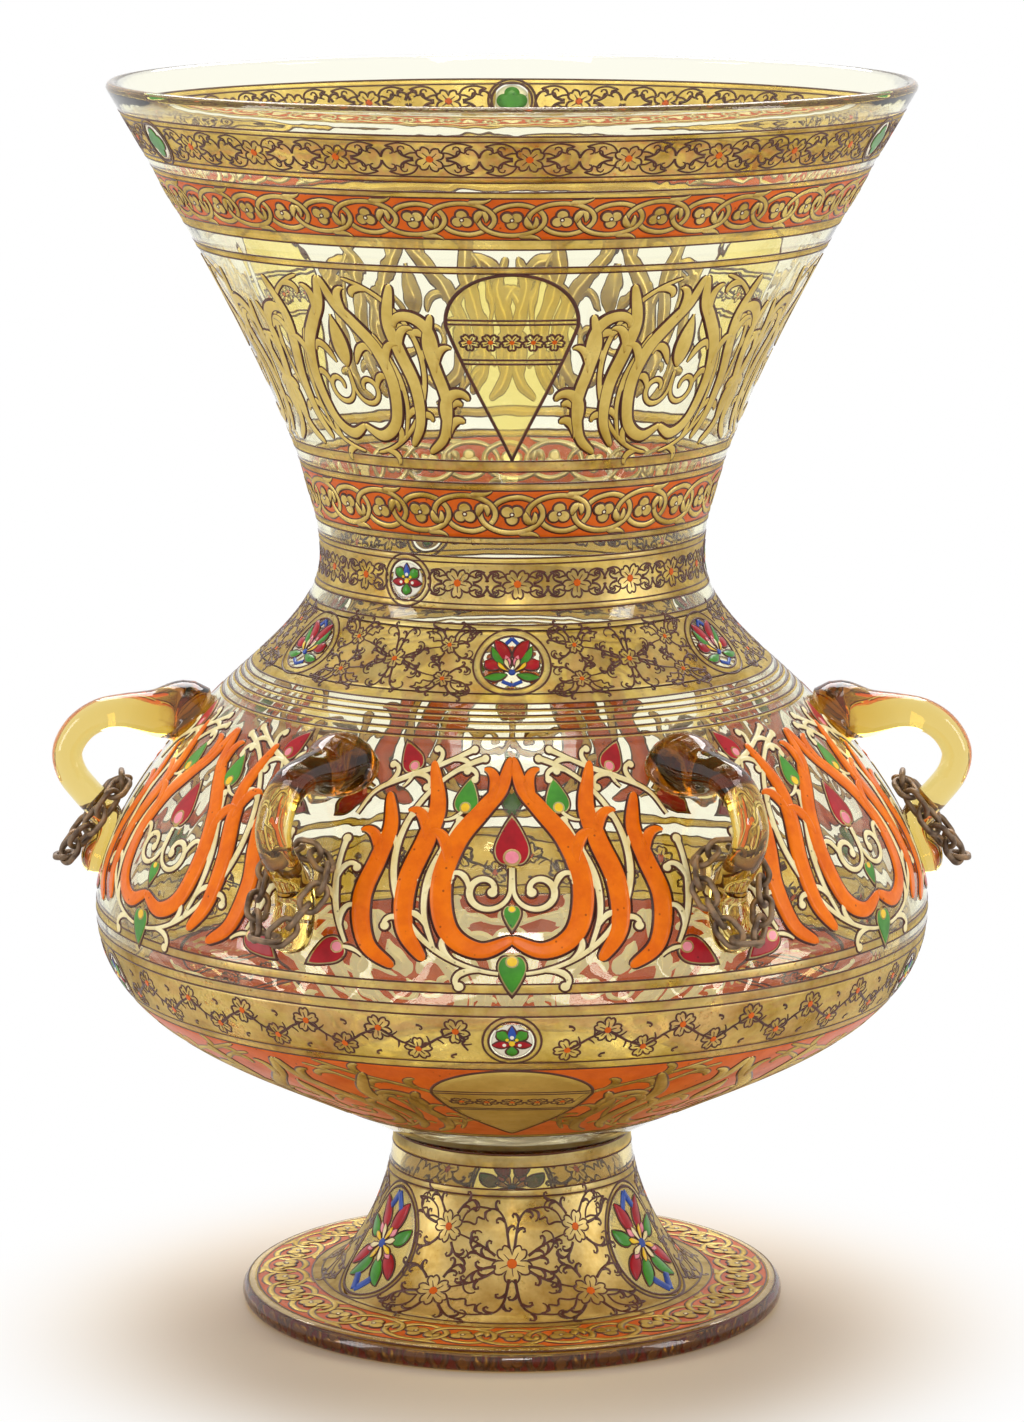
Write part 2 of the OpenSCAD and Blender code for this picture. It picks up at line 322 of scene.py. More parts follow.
def make_firing():
    group, inputs, outputs = new_group(
        "kiln_firing",
        [("Colour", "Color", WHITE), ("Deep Colour", "Color", WHITE), ("Pits", "Float", 300.0)],
        [("Colour", "Color"), ("Roughness", "Float"), ("Height", "Float")])
    place = add_node(group, "TexCoord").outputs["Object"]
    drift = add_node(group, "TexNoise", {"Vector": place, "Scale": 140.0, "Detail": 4.0, "Roughness": 0.65})
    share = add_node(group, "MapRange", {"Value": drift.outputs[0], "From Min": 0.38, "From Max": 0.72})
    pits = add_node(group, "TexVoronoi", {"Vector": place, "Scale": inputs.outputs["Pits"],
                                          "Randomness": 1.0})
    pit = add_node(group, "MapRange", {"Value": pits.outputs["Distance"], "From Min": PIT_IN,
                                       "From Max": PIT_OUT})
    deep = inputs.outputs["Deep Colour"]
    base = add_node(group, "Mix", {"Factor": share.outputs[0], "A": inputs.outputs["Colour"], "B": deep},
                    data_type="RGBA")
    # The pits are darker than the enamel round them
    pit_tone = add_node(group, "HueSaturation", {"Value": PIT_DARKNESS, "Color": deep})
    dark = add_node(group, "Mix", {"Factor": pit.outputs[0], "A": pit_tone.outputs[0],
                                   "B": base.outputs["Result"]}, data_type="RGBA")
    rough = add_node(group, "MapRange", {"Value": drift.outputs[0], "To Min": 0.22, "To Max": 0.5})
    height = add_node(group, "Math", {0: drift.outputs[0], 1: DRIFT_SHARE, 2: pit.outputs[0]},
                      operation="MULTIPLY_ADD")
    dress(group, outputs, {"Colour": dark.outputs["Result"], "Roughness": rough.outputs[0],
                           "Height": height.outputs[0]})
    return group


firing = make_firing()
print("group:", firing.name)

# %% Rubbed gold
# Share of the fine grain in what is rubbed bare
GRAIN_SHARE = 0.4


def make_rubbing():
    group, inputs, outputs = new_group(
        "rubbed_gold",
        [("Bright", "Color", WHITE), ("Dull", "Color", WHITE),
         ("Least", "Float", 0.2), ("Most", "Float", 0.6)],
        [("Colour", "Color"), ("Cover", "Float"), ("Roughness", "Float"), ("Height", "Float")])
    place = add_node(group, "TexCoord").outputs["Object"]
    wash = add_node(group, "TexNoise", {"Vector": place, "Scale": 46.0, "Detail": 5.0, "Roughness": 0.66})
    grain = add_node(group, "TexNoise", {"Vector": place, "Scale": 900.0, "Detail": 3.0})
    tone = add_node(group, "MapRange", {"Value": wash.outputs[0], "From Min": 0.35, "From Max": 0.68})
    colour = add_node(group, "Mix", {"Factor": tone.outputs[0], "A": inputs.outputs["Bright"],
                                     "B": inputs.outputs["Dull"]}, data_type="RGBA")
    both = add_node(group, "Math", {0: grain.outputs[0], 1: GRAIN_SHARE, 2: wash.outputs[0]},
                    operation="MULTIPLY_ADD")
    cover = add_node(group, "MapRange", {"Value": both.outputs[0], "From Min": 0.42, "From Max": 0.62,
                                         "To Min": inputs.outputs["Least"],
                                         "To Max": inputs.outputs["Most"]})
    rough = add_node(group, "MapRange", {"Value": grain.outputs[0], "To Min": 0.26, "To Max": 0.5})
    dress(group, outputs, {"Colour": colour.outputs["Result"], "Cover": cover.outputs[0],
                           "Roughness": rough.outputs[0], "Height": grain.outputs[0]})
    return group


rubbing = make_rubbing()
print("group:", rubbing.name)


# %% Paint finishes
def srgb(code):
    """Blender wants linear light, and painters' colour codes are written for the screen."""
    parts = [int(code[i:i + 2], 16) / 255 for i in (0, 2, 4)]
    return (*[c / 12.92 if c <= 0.04045 else ((c + 0.055) / 1.055) ** 2.4 for c in parts], 1.0)


def enamel_finish(name, colour, deep, coat=0.25, pit_depth=0.04, shine=0.3):
    material, tree, shader, _ = new_material(name)
    paint = use_group(tree, firing, Colour=srgb(colour), Deep_Colour=srgb(deep))
    relief = bump(tree, paint.outputs["Height"], 0.6, pit_depth)
    dress(tree, shader, {"Base Color": paint.outputs["Colour"], "Roughness": paint.outputs["Roughness"],
                         "Normal": relief.outputs[0], "Coat Weight": coat, "Coat Roughness": 0.12,
                         "Specular IOR Level": shine})
    return material


def gold_finish(name, bright, dull, least, most, film=None, share=1.0):
    """Rubbed gold. A film of thin gold, which only tints the light, may take the rest of the surface."""
    material, tree, shader, output = new_material(name)
    paint = use_group(tree, rubbing, Bright=srgb(bright), Dull=srgb(dull), Least=least, Most=most)
    grain = bump(tree, paint.outputs["Height"], 0.25, 0.03)
    dress(tree, shader, {"Base Color": paint.outputs["Colour"], "Roughness": paint.outputs["Roughness"],
                         "Alpha": paint.outputs["Cover"], "Normal": grain.outputs[0], "Metallic": 0.7})
    if film:
        tint = add_node(tree, "BsdfTransparent", {"Color": film})
        mix = add_node(tree, "MixShader", {0: share, 1: tint.outputs[0], 2: shader.outputs[0]})
        dress(tree, output, {"Surface": mix.outputs[0]})
    return material


def painted_glow_finish(name, colour, deep, glow):
    """Gold on bare glass seen from inside: a painted glow in its own colour for light coming through it."""
    material = enamel_finish(name, colour, deep, 0.0, 0.02, 0.1)
    tree = material.node_tree
    # Painted glow: the paint gives off a little light of its own
    dress(tree, tree.nodes["Principled BSDF"], {"Emission Color": srgb(colour), "Emission Strength": glow})
    return material


# Tint of the light that comes through gold and through thin gold
GOLD_FILM, THIN_FILM = (0.95, 0.74, 0.06, 1), (0.998, 0.94, 0.46, 1)
FINISHES = {
    "gold": (gold_finish("gilding", "F4E4A4", "A2843C", 0.16, 0.76, GOLD_FILM, 0.6), "gilding"),
    "thin_gold": (gold_finish("thin_gilding", "FFF6C6", "F8E49A", 0.18, 0.5, THIN_FILM, 0.46), "gilding"),
    "leaf_gold": (gold_finish("leaf_gilding", "EAD078", "C4A448", 0.66, 0.94), "gilding"),
    "straw": (gold_finish("straw_gilding", "F4E29E", "E4CA78", 0.92, 1.0), "gilding"),
    "ground": (gold_finish("pale_gilding", "F2EACC", "E2D6AE", 0.92, 1.0), "gilding"),
    # Painted glow for gold strokes on bare glass, seen from inside
    "glow": (painted_glow_finish("painted_glow_gilding", "F2E8C8", "E0D2A0", 0.4), "gilding"),
    "line": (enamel_finish("brown_line", "54281A", "3A170E", 0.1, 0.02), "outline"),
    "orange": (enamel_finish("orange_enamel", "EE7600", "D85E00", 0.08, 0.06, 0.15), "enamel"),
    "coral": (enamel_finish("coral_enamel", "D86414", "C2520C", 0.06, 0.04, 0.15), "enamel"),
    "cream": (enamel_finish("cream_enamel", "F3E8B6", "E2CE8E"), "enamel"),
    "red": (enamel_finish("red_enamel", "AE0E1E", "860814", 0.12, 0.04, 0.2), "enamel"),
    "pink": (enamel_finish("pink_enamel", "EE93A2", "DC6F86"), "enamel"),
    "green": (enamel_finish("green_enamel", "3C9010", "246C08", 0.2), "enamel"),
    "yellow": (enamel_finish("yellow_enamel", "F4CC14", "DDA408"), "enamel"),
    "blue": (enamel_finish("blue_enamel", "1A48AA", "0E2C7C", 0.2), "enamel"),
    "white": (enamel_finish("white_enamel", "EFEDE2", "DDD9C6"), "enamel"),
}
print("paints:", ", ".join(FINISHES))

# %% [markdown]
# ## The outline of the vessel and the foot
# Both bodies are round, so each is drawn as an outline of radius and height and turned about the axis.
# A Screw modifier could turn it, but the painted pieces need to know the surface at any spot, so the
# outline is kept as a table along its arc: it gives the radius, the height and the outward direction.

# %% Outline
LAMP_H, THROAT_Z, BELLY_Z, WELD_Z = 340.0, 211.0, 114.0, 49.6
RIM_R, THROAT_R, BELLY_R, WELD_R, TURN_R, FOOT_R, BRIM_R = 109.4, 52.5, 114.9, 33.0, 74.8, 75.5, 54.0
WALL, FLOOR_T, FOOT_WALL, LIP_R, REST_RING = 3.0, 4.0, 3.2, 3.2, 6.0
TURN_DROP, BRIM_H = 32.4, 7.3
FLARE, TURN, BOWL = (math.radians(a) for a in (30.4, 42.3, 30.8))
# Lengths of the two control arms of each curve of the vessel, and the control arms of the foot's curve
MOUTH_PULL, NECK_PULL, SHOULDER_PULL, BOWL_PULL = (54, 27), (13, 11.6), (24, 22), (33.5, 44.4)
FOOT_PULL = np.array([(0.8, -21.6), (-7, 1.4)])
CURVE_STEPS = 40


def polar(length, angle):
    return length * np.array([math.cos(angle), math.sin(angle)])


def bezier(*controls):
    c = np.array(controls, float)
    t = np.linspace(0, 1, CURVE_STEPS + 1)[:, None]
    return (1 - t) ** 3 * c[0] + 3 * (1 - t) ** 2 * t * c[1] + 3 * (1 - t) * t * t * c[2] + t ** 3 * c[3]


def arc(centre, radius, start, end, count):
    a = np.radians(np.linspace(start, end, count))
    return np.array(centre) + radius * np.c_[np.cos(a), np.sin(a)]


rim_mid = np.array([RIM_R - WALL / 2, LAMP_H - WALL / 2])
rim_edge = rim_mid + polar(WALL / 2, -FLARE)
throat, turn = np.array([THROAT_R, THROAT_Z]), np.array([TURN_R, THROAT_Z - TURN_DROP])
belly, weld, brim = np.array([BELLY_R, BELLY_Z]), np.array([WELD_R, WELD_Z]), np.array([BRIM_R, BRIM_H])
vessel_line = np.vstack([
    bezier(rim_edge, rim_edge - MOUTH_PULL[0] * np.array([math.sin(FLARE), math.cos(FLARE)]),
           throat + [0, MOUTH_PULL[1]], throat),
    bezier(throat, throat - [0, NECK_PULL[0]], turn - polar(NECK_PULL[1], -TURN), turn)[1:],
    bezier(turn, turn + polar(SHOULDER_PULL[0], -TURN), belly + [0, SHOULDER_PULL[1]], belly)[1:],
    bezier(belly, belly - [0, BOWL_PULL[0]], weld + polar(BOWL_PULL[1], BOWL), weld)[1:]])
foot_line = np.vstack([
    bezier(weld, weld + FOOT_PULL[0], brim + FOOT_PULL[1], brim),
    arc((FOOT_R - LIP_R, LIP_R), LIP_R, 90, -20, 12)])

print("outline points:", len(vessel_line), "and", len(foot_line))


# %% Skin
class Skin:
    """The outer face of a turned glass body, measured along its outline from the top."""

    def __init__(self, line):
        self.line = line
        self.s = np.r_[0, np.cumsum(np.hypot(*np.diff(line, axis=0).T))]
        down = np.gradient(line, self.s, axis=0)
        down /= np.linalg.norm(down, axis=1)[:, None]
        self.out = np.c_[-down[:, 1], down[:, 0]]

    def read(self, s):
        values = np.c_[self.line, self.out].T
        return [np.interp(s, self.s, column) for column in values]

    def place(self, theta, s, height):
        """Points in metres at an angle from the front, an arc length and a height above the glass."""
        r, z, out_r, out_z = self.read(s)
        r = r + out_r * height
        return np.stack([r * np.sin(theta), -r * np.cos(theta), z + out_z * height], -1) * MM


vessel_skin, foot_skin = Skin(vessel_line), Skin(foot_line)
print("outline lengths:", round(vessel_skin.s[-1], 1), "and", round(foot_skin.s[-1], 1), "mm")

# %% [markdown]
# ## Turning the glass bodies
# The inner face is the outer outline moved inwards by the wall, with a round lip at the mouth. The
# vessel closes at its floor, and the foot is a hollow bell that stands on a flat ground ring. A Solidify
# modifier could give the wall, but not the round lip, the thicker floor and the flat ring. So both faces
# are drawn as one outline, and light finds real glass between them.

# %% Turning
SEGMENTS = 288


def add_piece(name, points, faces, material, slot):
    """A smooth piece that rides with the glass."""
    mesh = bpy.data.meshes.new(name)
    mesh.from_pydata(points, [], faces)
    mesh.polygons.foreach_set("use_smooth", [True] * len(mesh.polygons))
    mesh.materials.append(material)
    mesh.update()
    piece = bpy.data.objects.new(name, mesh)
    bpy.context.scene.collection.objects.link(piece)
    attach(piece, "root")
    return piece


def grid_faces(rows, sides, loop=False):
    """Quads between rows of points, where each row closes round."""
    i, j = np.meshgrid(np.arange(rows if loop else rows - 1), np.arange(sides), indexing="ij")
    after, beside = (i + 1) % rows, (j + 1) % sides
    square = [i * sides + j, i * sides + beside, after * sides + beside, after * sides + j]
    return np.stack(square, -1).reshape(-1, 4)


def inside_out(points, quads):
    """True if the faces look inwards: light that enters such glass would never leave it."""
    a, b, c, d = (points[quads[:, k]] - points.mean(0) for k in range(4))
    return np.sum(a * (np.cross(b, c) + np.cross(c, d))) < 0


def turned(name, line, material, slot, closed):
    """Turns a line of radius and height about the axis. A line that isn't closed starts and ends on it."""
    ring = np.arange(SEGMENTS) * 2 * math.pi / SEGMENTS
    inner = line if closed else line[1:-1]
    points = np.stack([np.outer(inner[:, 0], np.sin(ring)), np.outer(inner[:, 0], -np.cos(ring)),
                       np.repeat(inner[:, 1:], SEGMENTS, 1)], -1).reshape(-1, 3)
    rows = len(inner)
    quads = grid_faces(rows, SEGMENTS, closed)
    faces = quads.tolist()
    if not closed:
        first, last = len(points), len(points) + 1
        points = np.vstack([points, [0, 0, line[0, 1]], [0, 0, line[-1, 1]]])
        end = (rows - 1) * SEGMENTS
        faces += [(first, (j + 1) % SEGMENTS, j) for j in range(SEGMENTS)]
        faces += [(last, end + j, end + (j + 1) % SEGMENTS) for j in range(SEGMENTS)]
    turn = -1 if inside_out(points, quads) else 1
    return add_piece(name, points * MM, [face[::turn] for face in faces], material, slot)


print("bodies are turned in", SEGMENTS, "steps")

# %% Vessel and foot
WELD_GAP, FLOOR_BEVEL, CROWN_T = 0.03, 1.0, 3.0
inside = vessel_skin.line - vessel_skin.out * WALL
inside = inside[inside[:, 1] > WELD_Z + FLOOR_T]
lip = arc(rim_mid, WALL / 2, -math.degrees(FLARE), 180 - math.degrees(FLARE), 10)
floor_edge = np.array([inside[-1, 0] - FLOOR_BEVEL, WELD_Z + FLOOR_T])
vessel_loop = np.vstack([[0, WELD_Z], vessel_line[::-1], lip[1:-1], inside, floor_edge,
                         [0, WELD_Z + FLOOR_T]])
vessel = turned("vessel_glass", vessel_loop, clear_glass, "clear_glass", closed=False)
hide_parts("vessel")

bell = foot_line[:CURVE_STEPS + 1]
hollow = (bell - foot_skin.out[:CURVE_STEPS + 1] * FOOT_WALL)[::-1]
hollow = hollow[hollow[:, 1] < WELD_Z - CROWN_T]
rest_in = FOOT_R - LIP_R - REST_RING
foot_loop = np.vstack([
    [WELD_R - FOOT_WALL, WELD_Z - WELD_GAP], bell[:1] - [0, WELD_GAP], bell[1:],
    arc((FOOT_R - LIP_R, LIP_R), LIP_R, 90, -90, 16),
    [[rest_in, 0], [rest_in - LIP_R, BRIM_H - FOOT_WALL]], hollow])
foot = turned("foot_glass", foot_loop[::-1], foot_glass, "foot_glass", closed=True)
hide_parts("foot")
print("vessel", len(vessel.data.polygons), "faces; foot", len(foot.data.polygons), "faces")

# %% [markdown]
# ## The handles
# Each handle was drawn from a hot gather: it was pressed on the shoulder as a wide pad, pulled out, bent
# over and brought back to the belly, where it was pressed down and left as a lobe. A bevelled curve
# would be quick, but its round section would cut into the vessel. So a tube is swept along the same
# path with its own thickness at each place, and what would lie in the vessel is pushed out to its skin.

# %% Handle path
# Handle number SIDE_HANDLE points straight to the side
HANDLE_COUNT, SIDE_HANDLE = 6, 3
HANDLE_STEPS, HANDLE_SIDES, RUN_STEPS = 90, 40, 16
HANDLE_GAP, LEAST_OUT = 0.06, 0.3
ROOT_Z, ROOT_LIFT = 164.8, 3.0
root_s = np.interp(-ROOT_Z, -vessel_skin.line[:, 1], vessel_skin.s)
root_r, root_z, root_out_r, root_out_z = (float(v) for v in vessel_skin.read(root_s))
# Radius and height of the centreline, with the half thickness up and down and the half width sideways
HANDLE_PATH = [
    (root_r, root_z, 10.2, 10.4),
    (root_r + ROOT_LIFT * root_out_r, root_z + ROOT_LIFT * root_out_z, 8.6, 9.2),
    (98.0, 166.2, 6.7, 7.4), (106.6, 166.6, 5.0, 5.7), (113.4, 165.6, 4.5, 5.2), (119.2, 161.8, 4.3, 5.0),
    (122.6, 155.6, 4.2, 4.9), (121.4, 149.4, 4.2, 4.8), (117.4, 144.0, 4.2, 4.7), (113.4, 139.6, 4.4, 4.8),
    (111.8, 135.0, 4.8, 5.2), (112.8, 130.2, 5.0, 5.8), (114.4, 126.4, 4.9, 5.9), (115.6, 123.6, 3.9, 5.0),
    (116.2, 121.8, 2.0, 3.0), (116.3, 121.2, 0.4, 0.6)]


def through(points, count):
    """A smooth run through points, even along its length."""
    p = np.array(points, float)
    ends = np.vstack([2 * p[0] - p[1], p, 2 * p[-1] - p[-2]])
    t = np.linspace(0, 1, RUN_STEPS, endpoint=False)[:, None]
    runs = [0.5 * (2 * b + (c - a) * t + (2 * a - 5 * b + 4 * c - d) * t ** 2
                   + (3 * b - a - 3 * c + d) * t ** 3)
            for a, b, c, d in zip(ends, ends[1:], ends[2:], ends[3:])]
    dense = np.vstack(runs + [p[-1:]])
    far = np.r_[0, np.cumsum(np.linalg.norm(np.diff(dense[:, :2], axis=0), axis=1))]
    even = np.linspace(0, far[-1], count)
    return np.stack([np.interp(even, far, column) for column in dense.T], -1)


def tube_faces(points, rows, sides):
    quads = grid_faces(rows, sides)
    turn = -1 if inside_out(points, quads) else 1
    caps = [np.arange(sides)[::-1], np.arange(sides) + (rows - 1) * sides]
    return quads[:, ::turn].tolist() + [cap[::turn].tolist() for cap in caps]


def push_out(points, gap, seated):
    """Moves points that lie in the vessel out to its skin, and the first ones, which are seated, onto it."""
    r = np.hypot(points[:, 0], points[:, 1])
    s = np.interp(-points[:, 2], -vessel_skin.line[:, 1], vessel_skin.s)
    skin_r, _, out_r, _ = vessel_skin.read(s)
    need = skin_r + gap / np.maximum(out_r, LEAST_OUT)
    grow = np.where(np.arange(len(r)) < seated, need, np.maximum(r, need)) / r
    return np.c_[points[:, 0] * grow, points[:, 1] * grow, points[:, 2]]


print("handle root at radius", round(root_r, 1), "and height", round(root_z, 1), "mm")

# %% Handle sweep
spine = through(HANDLE_PATH, HANDLE_STEPS)
ahead = np.gradient(spine[:, :2], axis=0)
ahead /= np.linalg.norm(ahead, axis=1)[:, None]
across = np.c_[-ahead[:, 1], ahead[:, 0]]
round_angle = np.arange(HANDLE_SIDES) * 2 * math.pi / HANDLE_SIDES
thick = spine[:, 2:3] * np.cos(round_angle)
handle_rz = spine[:, None, :2] + across[:, None, :] * thick[..., None]
handle_side = spine[:, 3:4] * np.sin(round_angle)
handle_shape = np.stack([handle_rz[..., 0], handle_side, handle_rz[..., 1]], -1).reshape(-1, 3)
handle_shape = push_out(handle_shape, HANDLE_GAP, HANDLE_SIDES)
for number in range(1, HANDLE_COUNT + 1):
    a = (number - SIDE_HANDLE) * 2 * math.pi / HANDLE_COUNT
    x, y, z = handle_shape.T
    points = np.c_[x * math.cos(a) - y * math.sin(a), x * math.sin(a) + y * math.cos(a), z] * MM
    handle = add_piece(f"handle_{number}_glass", points, tube_faces(points, HANDLE_STEPS, HANDLE_SIDES),
                       handle_glass, "handle_glass")
    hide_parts(f"handle_{number}")
print("handles:", HANDLE_COUNT, "with", len(handle_shape), "points each")

# %% [markdown]
# ## The chains
# The links are bent from iron wire. New ones could be modelled, but their shape in the frame is right,
# so they keep it and only get their finish: dark brown scale with patches of lighter rust, on a surface
# that is uneven and only half metallic.

# %% Chain finish
def iron_finish():
    material, tree, shader, _ = new_material("chain_iron")
    place = add_node(tree, "TexCoord").outputs["Object"]
    scale = add_node(tree, "TexNoise", {"Vector": place, "Scale": 700.0, "Detail": 6.0, "Roughness": 0.7})
    rust = add_node(tree, "TexNoise", {"Vector": place, "Scale": 240.0, "Detail": 3.0})
    tone = add_node(tree, "ValToRGB", {"Fac": rust.outputs[0]})
    stops = tone.color_ramp.elements
    stops[0].position, stops[0].color = 0.34, srgb("4A382A")
    stops[1].position, stops[1].color = 0.7, srgb("90704E")
    stops.new(0.52).color = srgb("78634E")
    rough = add_node(tree, "MapRange", {"Value": scale.outputs[0], "To Min": 0.28, "To Max": 0.62})
    relief = bump(tree, scale.outputs[0], 0.8, 0.25)
    dress(tree, shader, {"Base Color": tone.outputs[0], "Roughness": rough.outputs[0],
                         "Normal": relief.outputs[0], "Metallic": 0.55})
    return material


chain_iron = iron_finish()
for name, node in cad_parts.items():
    if name.startswith("chain_"):
        node.data.materials.clear()
        node.data.materials.append(chain_iron)
print("chain nodes:", sum(name.startswith("chain_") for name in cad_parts))

# %% [markdown]
# ## A box of brushes
# The ornament could be a texture, but then it would have no edge in the light. So all of it is painted
# on the skin as thin solid shapes with a little relief. A zone is a belt of the skin that is drawn on as
# if it were flat: x runs round the lamp and y runs up. A spot is a place in a zone that a motif is drawn
# from. A coat collects the shapes of one colour in one zone, and lays them on the glass as one mesh.
# Each shape is a lattice of points that closes round itself, with its edge sunk a little into the glass,
# as fired paint is.

# %% Zones and spots
class Zone:
    def __init__(self, skin, top, bottom):
        self.skin, self.top, self.bottom = skin, top, bottom
        self.mid, self.half = (top + bottom) / 2, (bottom - top) / 2
        self.radius = float(skin.read(self.mid)[0])

    def spot(self, degrees, y=0.0, flip=1, size=1.0):
        return Spot(self, math.radians(degrees), y, flip, size)

    def degrees(self, length):
        return math.degrees(length / self.radius)


class Spot:
    def __init__(self, zone, theta, y, flip, size):
        self.zone, self.theta, self.y, self.flip = zone, theta, y, flip
        self.size = np.broadcast_to(size, 2)

    def place(self, xy, height):
        x, y = np.moveaxis(xy * self.size, -1, 0)
        theta = self.theta + x * self.flip / self.zone.radius
        return self.zone.skin.place(theta, self.zone.mid - (y + self.y), height)


print("one degree round the belly is", round(math.radians(1) * BELLY_R, 2), "mm")

# %% Coats
# How deep the edge of each paint lies in the glass. From inside the lamp the deepest paint shows first:
# pale grounds, then drawn lines, then colours, gold and white, and the brown edges of strokes last.
SINK, LINE_SINK = 0.06, 0.075
SINKS = {"line": 0.015, "white": 0.03, "gold": 0.04, "thin_gold": 0.04, "leaf_gold": 0.04,
         "ground": 0.085, "straw": 0.085, "glow": 0.085}
# Places across a stroke, in half widths: its edges lie in the glass and the rest is raised
FLAT_STROKE, PEN_STROKE, HOOP_STROKE = (-1, -0.72, 0.72, 1), (-1, -0.55, 0.55, 1), (-1, -0.8, 0.8, 1)
# Waver of a hoop, spacing of the points of a film up and along, spacing of the rings of a pad, width of
# its slope, share of its innermost ring, and how much deeper its middle lies than its edge
HOOP_WOBBLE, BELT_ROW, BELT_STEP = 0.06, 0.5, 1.5
PAD_STEP, PAD_EDGE, PAD_EYE, PAD_DIP = 2.5, 0.35, 0.03, 1.4


class Coat:
    def __init__(self, name, ink):
        self.name, (self.finish, self.slot) = name, FINISHES[ink]
        self.points, self.faces, self.count = [], [], 0
        self.sink = SINKS.get(ink, SINK)

    def lattice(self, points, loop=False):
        """Rows of points that each close round; the ends are capped, or joined if the rows loop."""
        rows, sides = points.shape[:2]
        points = points.reshape(-1, 3)
        quads = grid_faces(rows, sides, loop)
        caps = [] if loop else [np.arange(sides)[::-1], np.arange(sides) + (rows - 1) * sides]
        turn = -1 if inside_out(points, quads) else 1
        self.faces += (quads[:, ::turn] + self.count).tolist()
        self.faces += [(cap[::turn] + self.count).tolist() for cap in caps]
        self.points.append(points)
        self.count += len(points)

    def stroke(self, spot, path, width, height, across=FLAT_STROKE, loop=False, sink=None):
        """A raised stroke along a path. Width and height may change along it."""
        step = np.roll(path, -1, 0) - np.roll(path, 1, 0) if loop else np.gradient(path, axis=0)
        step = step / np.maximum(np.linalg.norm(step, axis=1), 1e-9)[:, None]
        side = np.c_[-step[:, 1], step[:, 0]]
        across = np.array(across)
        half = np.broadcast_to(width, len(path)) / 2
        xy = path[:, None] + side[:, None] * (half[:, None] * across)[..., None]
        top = np.broadcast_to(height, len(path))[:, None]
        lift = np.where(np.abs(across) < 1, top, -(sink or self.sink))
        self.lattice(spot.place(xy, lift), loop)

    def line(self, spot, path, width, height, loop=False):
        self.stroke(spot, path, width, height, PEN_STROKE, loop, LINE_SINK)

    def pad(self, spot, outline, height):
        """Fills an outline that can be seen whole from its middle."""
        middle = outline.mean(0)
        reach = np.linalg.norm(outline - middle, axis=1).max()
        rings = np.linspace(PAD_EYE, 1, max(3, int(reach / PAD_STEP) + 2))
        edge = 1 - min(0.25, PAD_EDGE / reach)
        shares = np.r_[rings, edge, rings[-2::-1] * edge / rings[-2] * 0.9]
        lift = np.r_[np.full(len(rings), -PAD_DIP * self.sink), np.full(len(shares) - len(rings), height)]
        lift[len(rings) - 1] = -self.sink
        xy = middle + (outline - middle) * shares[:, None, None]
        self.lattice(spot.place(xy, lift[:, None]))

    def hoop(self, zone, s, width, height):
        """A line right round the lamp, as steady as a hand on a turning wheel."""
        a = np.arange(SEGMENTS) * 2 * math.pi / SEGMENTS
        drift = s + HOOP_WOBBLE * (np.sin(3 * a + s) + 0.6 * np.sin(7 * a + 2 * s))
        across = np.array(HOOP_STROKE)
        rows = drift[:, None] + width / 2 * across
        sink = LINE_SINK if self.slot == "outline" else self.sink
        lift = np.where(np.abs(across) < 1, height, -sink)
        self.lattice(zone.skin.place(a[:, None], rows, lift), loop=True)

    def belt(self, zone, height, left=0.0, right=360.0, bite=0.0, tall=0.0):
        """A film over a zone between two angles. Its hollow ends leave room for roundels or ovals."""
        rows = np.linspace(-1, 1, max(5, int(zone.half / BELT_ROW))) * zone.half
        cut = bite * np.sqrt(np.maximum(1 - (rows / (tall or bite or 1)) ** 2, 0)) / zone.radius
        rows, cut = np.r_[rows, rows[::-1]], np.r_[cut, cut[::-1]]
        lift = np.where(np.arange(len(rows)) < len(rows) // 2, height, -self.sink)
        whole_turn = right - left >= 360
        left, right = math.radians(left), math.radians(right)
        count = max(4, int((right - left) * zone.radius / BELT_STEP))
        share = np.linspace(0, 1, count, endpoint=not whole_turn)[:, None]
        theta = left + cut + share * (right - left - 2 * cut)
        self.lattice(zone.skin.place(theta, zone.mid - rows + 0 * theta, lift), whole_turn)

    def lay(self):
        return add_piece(self.name, np.vstack(self.points), self.faces, self.finish, self.slot)


print("paint lies up to", max(SINKS.values()), "mm deep in the glass")


# %% Palettes
class Palette(dict):
    """The coats of one zone, each started when its colour is first used."""

    def __init__(self, name):
        self.name = name

    def __missing__(self, ink):
        self[ink] = Coat(f"{self.name}_{ink}", ink)
        return self[ink]

    def lay(self):
        pieces = [coat.lay() for coat in self.values()]
        print(self.name + ":", ", ".join(f"{ink} {len(p.data.polygons)}" for ink, p in zip(self, pieces)))


print("a palette can hold", len(FINISHES), "paints")

# %% [markdown]
# ## Motifs
# The painter's repertory is small: a pen stroke that curls, a comma, a leaf, a blossom, a heart-shaped
# bud, a ring. Each could be modelled by hand and copied, but copies would not bend round the glass.
# Every band is made of these few, so each is a short function that draws it afresh at its own place.

# %% Pens
PEN_STEP, COIL_STEP = 0.6, 0.8


def pen(x, y, heading, length, bend=0.0, curl=0.0):
    """A stroke that starts at a heading, turns by bend along its length, and by curl towards its end."""
    count = max(7, int(length / PEN_STEP))
    t = (np.arange(count - 1) + 0.5) / (count - 1)
    a = np.radians(heading + bend * t + curl * t ** 3)
    steps = np.c_[np.cos(a), np.sin(a)] * length / (count - 1)
    return np.array([x, y]) + np.vstack([[0, 0], np.cumsum(steps, 0)])


